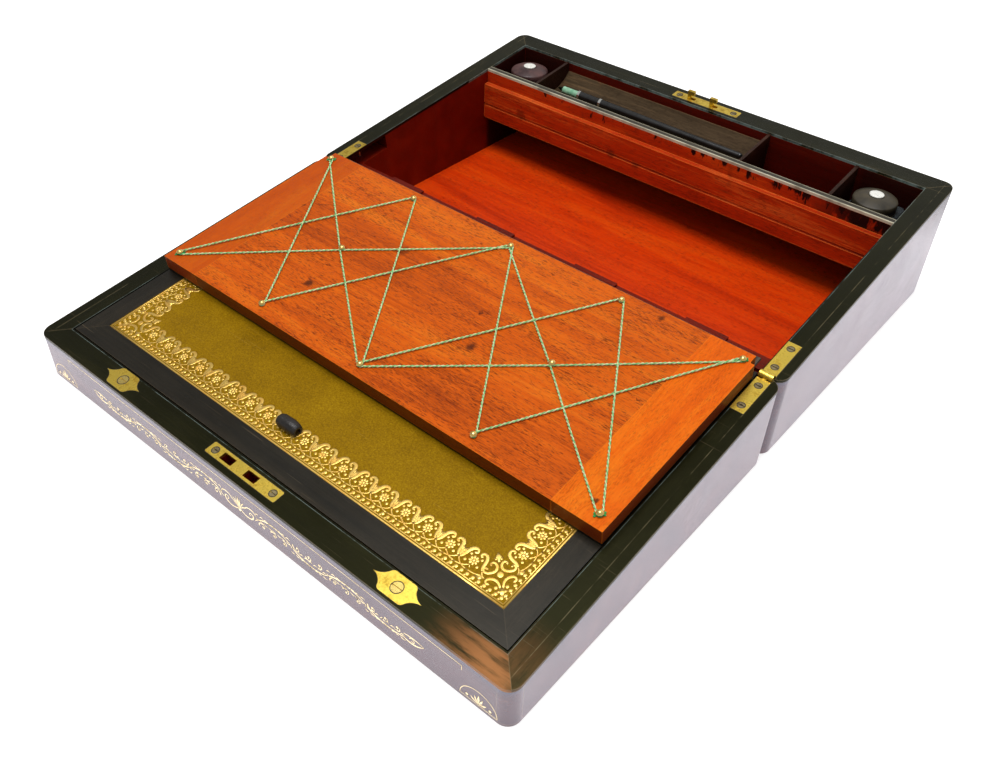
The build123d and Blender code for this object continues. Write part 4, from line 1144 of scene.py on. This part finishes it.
def turnCap(side, finish):
    low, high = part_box(f"inkwell_{side}_cap")
    x, y, z = (low.x + high.x) / 2, (low.y + high.y) / 2, low.z
    r, skirt, wall, seat, disc = (cap[key] * mm for key in ("radius", "skirt", "wall", "seat", "discRadius"))
    top = high.z - z
    profile = [(r - wall, 0.0), (r - 0.5 * mm, 0.0), (r, 0.5 * mm), (r, 1.4 * mm), (r - 0.4 * mm, 1.7 * mm),
               (r - 0.4 * mm, 2.1 * mm), (r, 2.4 * mm), (r, skirt - 1.2 * mm),
               (r - 0.3 * mm, skirt - 0.3 * mm)]
    profile += [(between(r - 0.5 * mm, seat, t), between(skirt, top, math.sin(t * math.pi / 2)))
                for t in spread(10)]
    profile += [(seat - 0.3 * mm, top - 0.5 * mm), (disc + 0.1 * mm, top - 0.6 * mm),
                (0.4 * mm, top - 0.6 * mm), (0.4 * mm, top - 3.4 * mm), (r - wall - 3 * mm, top - 3.6 * mm),
                (r - wall, skirt - 1.4 * mm)]
    piece = makePiece(f"inkwell_{side}_cap_turned", *turned(profile, (x, y, z), cap["sides"], True), finish,
                      f"inkwell_{side}_cap", "turned_wood")
    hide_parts(f"inkwell_{side}_cap")
    low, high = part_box(f"inkwell_{side}_disc")
    rounded = [(disc * share, (high.z - low.z) * height) for share, height in cap["disc"]]
    work = turned(rounded, (x, y, low.z), cap["discSides"])
    shown = makePiece(f"inkwell_{side}_disc_pearl", *work, "pearl", f"inkwell_{side}_cap", "pearl")
    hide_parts(f"inkwell_{side}_disc")


turnCap("left", "turnedHorn")
turnCap("right", "turnedOlive")
print("inkwell caps turned")


# Painted shade round the screw heads: a thin flat dark ring lying on the plate about each head, where the gap
# round the head falls in shade

gapShadeRing = {"wider": 0.42, "narrower": 0.16, "rise": 0.03, "sink": 0.05, "sides": 32, "headDepth": 0.6,
             "apart": 6.0}


def screwHeads(name):
    # the points of each screw, from the loose parts of its node's mesh
    mesh = nodes[name].data
    parent = list(range(len(mesh.vertices)))

    def root(i):
        while parent[i] != i:
            parent[i] = parent[parent[i]]
            i = parent[i]
        return i

    for a, b in (edge.vertices for edge in mesh.edges):
        parent[root(a)] = root(b)
    loose = {}
    for vertex in mesh.vertices:
        loose.setdefault(root(vertex.index), []).append(Vector(tuple(round(c, 6) for c in vertex.co)))
    clusters = []
    for points in loose.values():
        middle = sum(points, Vector()) / len(points)
        home = next((c for c in clusters if (c[0] - middle).length < gapShadeRing["apart"] * mm), None)
        if home:
            home[1].extend(points)
        else:
            clusters.append((middle, points))
    return [points for middle, points in clusters]


def packGapShade(name, body):
    work = ([], [])
    rise, sink, wider, narrower = (gapShadeRing[key] * mm for key in ("rise", "sink", "wider", "narrower"))
    for points in screwHeads(name):
        local = [slopeTurn.inverted() @ p for p in points]
        top = max(p.z for p in local)
        head = [p for p in local if p.z > top - gapShadeRing["headDepth"] * mm]
        x, y = ((min(p[i] for p in head) + max(p[i] for p in head)) / 2 for i in (0, 1))
        radius = max(math.hypot(p.x - x, p.y - y) for p in head)
        rings = []
        for r, height in ((radius - narrower, -sink), (radius + wider, -sink), (radius + wider * 0.8, rise),
                          (radius - narrower, rise)):
            rings.append([slopeTurn @ Vector((*around(x, y, r, turn), top + height))
                          for turn in circle(gapShadeRing["sides"])])
        joinRings(work, rings, True)
    makePiece(f"{name}_grime", *work, "grime", body, "brass")


for name, body in (("hinge_main_screws", "main_box"), ("lock_selvedge_screws", "main_box"),
                   ("hinge_lid_screws", "lid"), ("strike_screws", "lid"), ("cartouche_screws", "lid")):
    packGapShade(name, body)
print("grime packed round the screws")


# Pull loop: a strap of black leather, rolled over and let into the flap; sizes in mm

pull = {"x": -5.5, "s": -203.0, "length": 16.0, "radius": 4.2, "strap": 1.5, "ground": -0.53, "slices": 18,
        "from": -62, "to": 242, "steps": 25, "flat": 0.94, "soften": 0.35}


def rollPull():
    rings = []
    for t in spread(pull["slices"], -1, 1):
        swell = 1 + 0.07 * math.cos(t * 1.9 + 0.4) + 0.02 * math.sin(5 * t)
        size = pull["radius"] * (1 - abs(t) ** 6 * 0.16) * swell
        strap = pull["strap"] * (1.0 if abs(t) < 0.98 else 0.9)
        outer, inner = [], []
        for turn in (math.radians(angle) for angle in spread(pull["steps"], pull["from"], pull["to"])):
            lean = 1 + 0.10 * math.cos(turn + 0.6)
            for side, r in ((outer, size), (inner, size - strap)):
                side.append((pull["s"] + r * lean * math.cos(turn), r * pull["flat"] * math.sin(turn)))
        ring = outer + inner[::-1]
        lift = pull["ground"] - min(n for s, n in ring)
        rings.append([onSlopeMm(pull["x"] + pull["length"] / 2 * t, s, n + lift) for s, n in ring])
    piece = makePiece("pull_loop_rolled", *joinRings(([], []), rings), "blackLeather", "lower_flap",
                      "black_leather")
    soften = piece.modifiers.new("soften", "BEVEL")
    soften.width, soften.segments, soften.limit_method = pull["soften"] * mm, 2, "ANGLE"
    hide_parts("pull_loop")


rollPull()


# Leather strip that hinges the two flaps, in two halves that meet along the hinge line; sizes in mm

strip = {"half": 179.2, "thickness": 0.8, "level": 0.65, "lap": 8.3, "rows": 12, "columns": 90,
         "straight": 0.65, "flapEdge": -0.8, "keep": 0.1, "clear": 0.07, "seam": 0.012, "ripple": 0.05}


def lapStrip():
    # at rest the strip is bent in a U: along the lower flap's face, round, and back along the upper flap's
    rows, straight = strip["rows"], strip["straight"]
    half, ground = strip["thickness"] * mm / 2, strip["level"] * mm
    bend = (slopeFrame.inverted() @ pivotOf("upper_flap_turn")).y - ground - half - strip["clear"] * mm
    for part, way in (("lower", -1), ("upper", 1)):
        centre = []
        for t in spread(rows):
            if t < straight:
                centre.append(Vector((between(-strip["lap"] * mm, bend, t / straight), way * ground)))
            else:
                turn = (1 - t) / (1 - straight) * math.pi / 2
                rise = max(ground * math.sin(turn), strip["seam"] * mm)
                centre.append(Vector((bend + ground * math.cos(turn), way * rise)))
        outline = []
        for i, point in enumerate(centre):
            ahead = centre[min(i + 1, rows)] - centre[max(i - 1, 0)]
            along = ahead.normalized() if i < rows else Vector((0, -way))
            outline.append((point, Vector((along.y, -along.x)) * half))
        ring = [p + o for p, o in outline] + [p - o for p, o in reversed(outline)]
        rings = []
        for j, x in enumerate(spread(strip["columns"], -strip["half"], strip["half"])):
            ripple = strip["ripple"] * mm * math.sin(j * 0.9) * math.sin(j * 0.23)
            rings.append([onSlope(x * mm, p.x + ripple, p.y) for p in ring])
        piece = makePiece(f"flap_strip_{part}_leather", *joinRings(([], []), rings), "blackLeather",
                          f"{part}_flap", "black_leather")
        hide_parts("flap_hinge_strip")
        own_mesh(piece)


lapStrip()
print("leathers made")


# Floor, light and camera

stageLook = {"floorSize": 6.0, "floorSteps": 8, "floorDrop": -0.0002, "floorColor": (0.8, 0.8, 0.8),
             "seenGlow": 0.62, "nearGlow": 1.05, "farGlow": 0.16, "glowFrom": 0.0, "glowTo": 0.14,
             "shineNear": 1.1, "shineFar": 0.10, "shineFrom": 0.07, "shineTo": 0.20,
             "shineColor": (0.93, 0.89, 0.98), "sky": 0.46, "skyLeft": 0.75, "skyBack": 0.55, "seenSky": 1.0}
lamp = {"power": 17.0, "size": 0.8, "place": (0.0, -0.16, 1.6), "aim": (0, 0, 0.05)}
cameraShot = {"sensor": 36.0, "lens": 35.1437, "near": 0.02, "far": 20, "place": (0.34299, -0.44246, 0.43182),
              "angles": (48.992, -1.656, 40.242)}


def layFloor():
    steps, look = stageLook["floorSteps"], stageLook
    mesh = bpy.data.meshes.new("floor")
    lines = spread(steps, -look["floorSize"] / 2, look["floorSize"] / 2)
    row = steps + 1
    mesh.from_pydata([(x, y, look["floorDrop"]) for y in lines for x in lines], [],
                     [(k, k + 1, k + row + 1, k + row) for k in range(row * steps) if k % row < steps])
    floor = addPiece("floor", mesh)
    material, tree, shader = newMaterial("paleFloor")
    tone = remap(noise(objectPlace(tree), 6.0, 3), 0.3, 0.7)
    # the floor glows like a light table: evenly to the eye, and most strongly close by for what it lights
    beyond = vectorMath("SUBTRACT", vectorMath("ABSOLUTE", objectPlace(tree)), (caseHalf, halfDepth, 0))
    away = vectorMath("LENGTH", vectorMath("MAXIMUM", beyond), out="Value")
    glow = remap(away, look["glowFrom"], look["glowTo"], look["nearGlow"], look["farGlow"])
    shine = remap(away, look["shineFrom"], look["shineTo"], look["shineNear"], look["shineFar"])
    path = addNode(tree, "LightPath").outputs
    unseen = blend("FLOAT", path["Is Glossy Ray"], glow, shine)
    setIn(shader, Roughness=0.9,
          Base_Color=tinted(look["floorColor"], tone, shaded(look["floorColor"], 0.995)),
          Emission_Color=tinted((1.0, 1.0, 1.0), path["Is Glossy Ray"], look["shineColor"]),
          Emission_Strength=blend("FLOAT", path["Is Camera Ray"], unseen, look["seenGlow"]))
    mesh.materials.append(material)


def lightWorld():
    world = bpy.data.worlds.new("studio")
    bpy.context.scene.world = world
    world.use_nodes = True
    tree = world.node_tree
    tree.nodes.clear()
    aim = addNode(tree, "TexCoord").outputs["Generated"]
    side = remap(axis(aim, 0), -0.9, 0.1, stageLook["skyLeft"], 1.0)
    behind = remap(axis(aim, 1), 0.55, 0.95, stageLook["sky"], stageLook["sky"] + stageLook["skyBack"])
    seen = addNode(tree, "LightPath").outputs["Is Camera Ray"]
    back = setIn(addNode(tree, "Background"), Color=(1.0, 1.0, 1.0),
                 Strength=blend("FLOAT", seen, times(side, behind), stageLook["seenSky"]))
    plug(addNode(tree, "OutputWorld").inputs["Surface"], back.outputs[0])


def hangLamp():
    light = bpy.data.lights.new("key", "AREA")
    light.energy, light.size = lamp["power"], lamp["size"]
    shown = addPiece("key", light)
    shown.location = lamp["place"]
    shown.rotation_euler = (Vector(lamp["aim"]) - Vector(lamp["place"])).to_track_quat("-Z", "Y").to_euler()


def setCamera():
    shot = bpy.data.cameras.new("camera")
    shot.sensor_width, shot.lens = cameraShot["sensor"], cameraShot["lens"]
    shot.clip_start, shot.clip_end = cameraShot["near"], cameraShot["far"]
    camera = addPiece("camera", shot)
    camera.location = cameraShot["place"]
    camera.rotation_euler = [math.radians(a) for a in cameraShot["angles"]]
    bpy.context.scene.camera = camera


layFloor()
lightWorld()
hangLamp()
setCamera()
bpy.context.scene.view_settings.view_transform = "Standard"
print("floor, light and camera set")
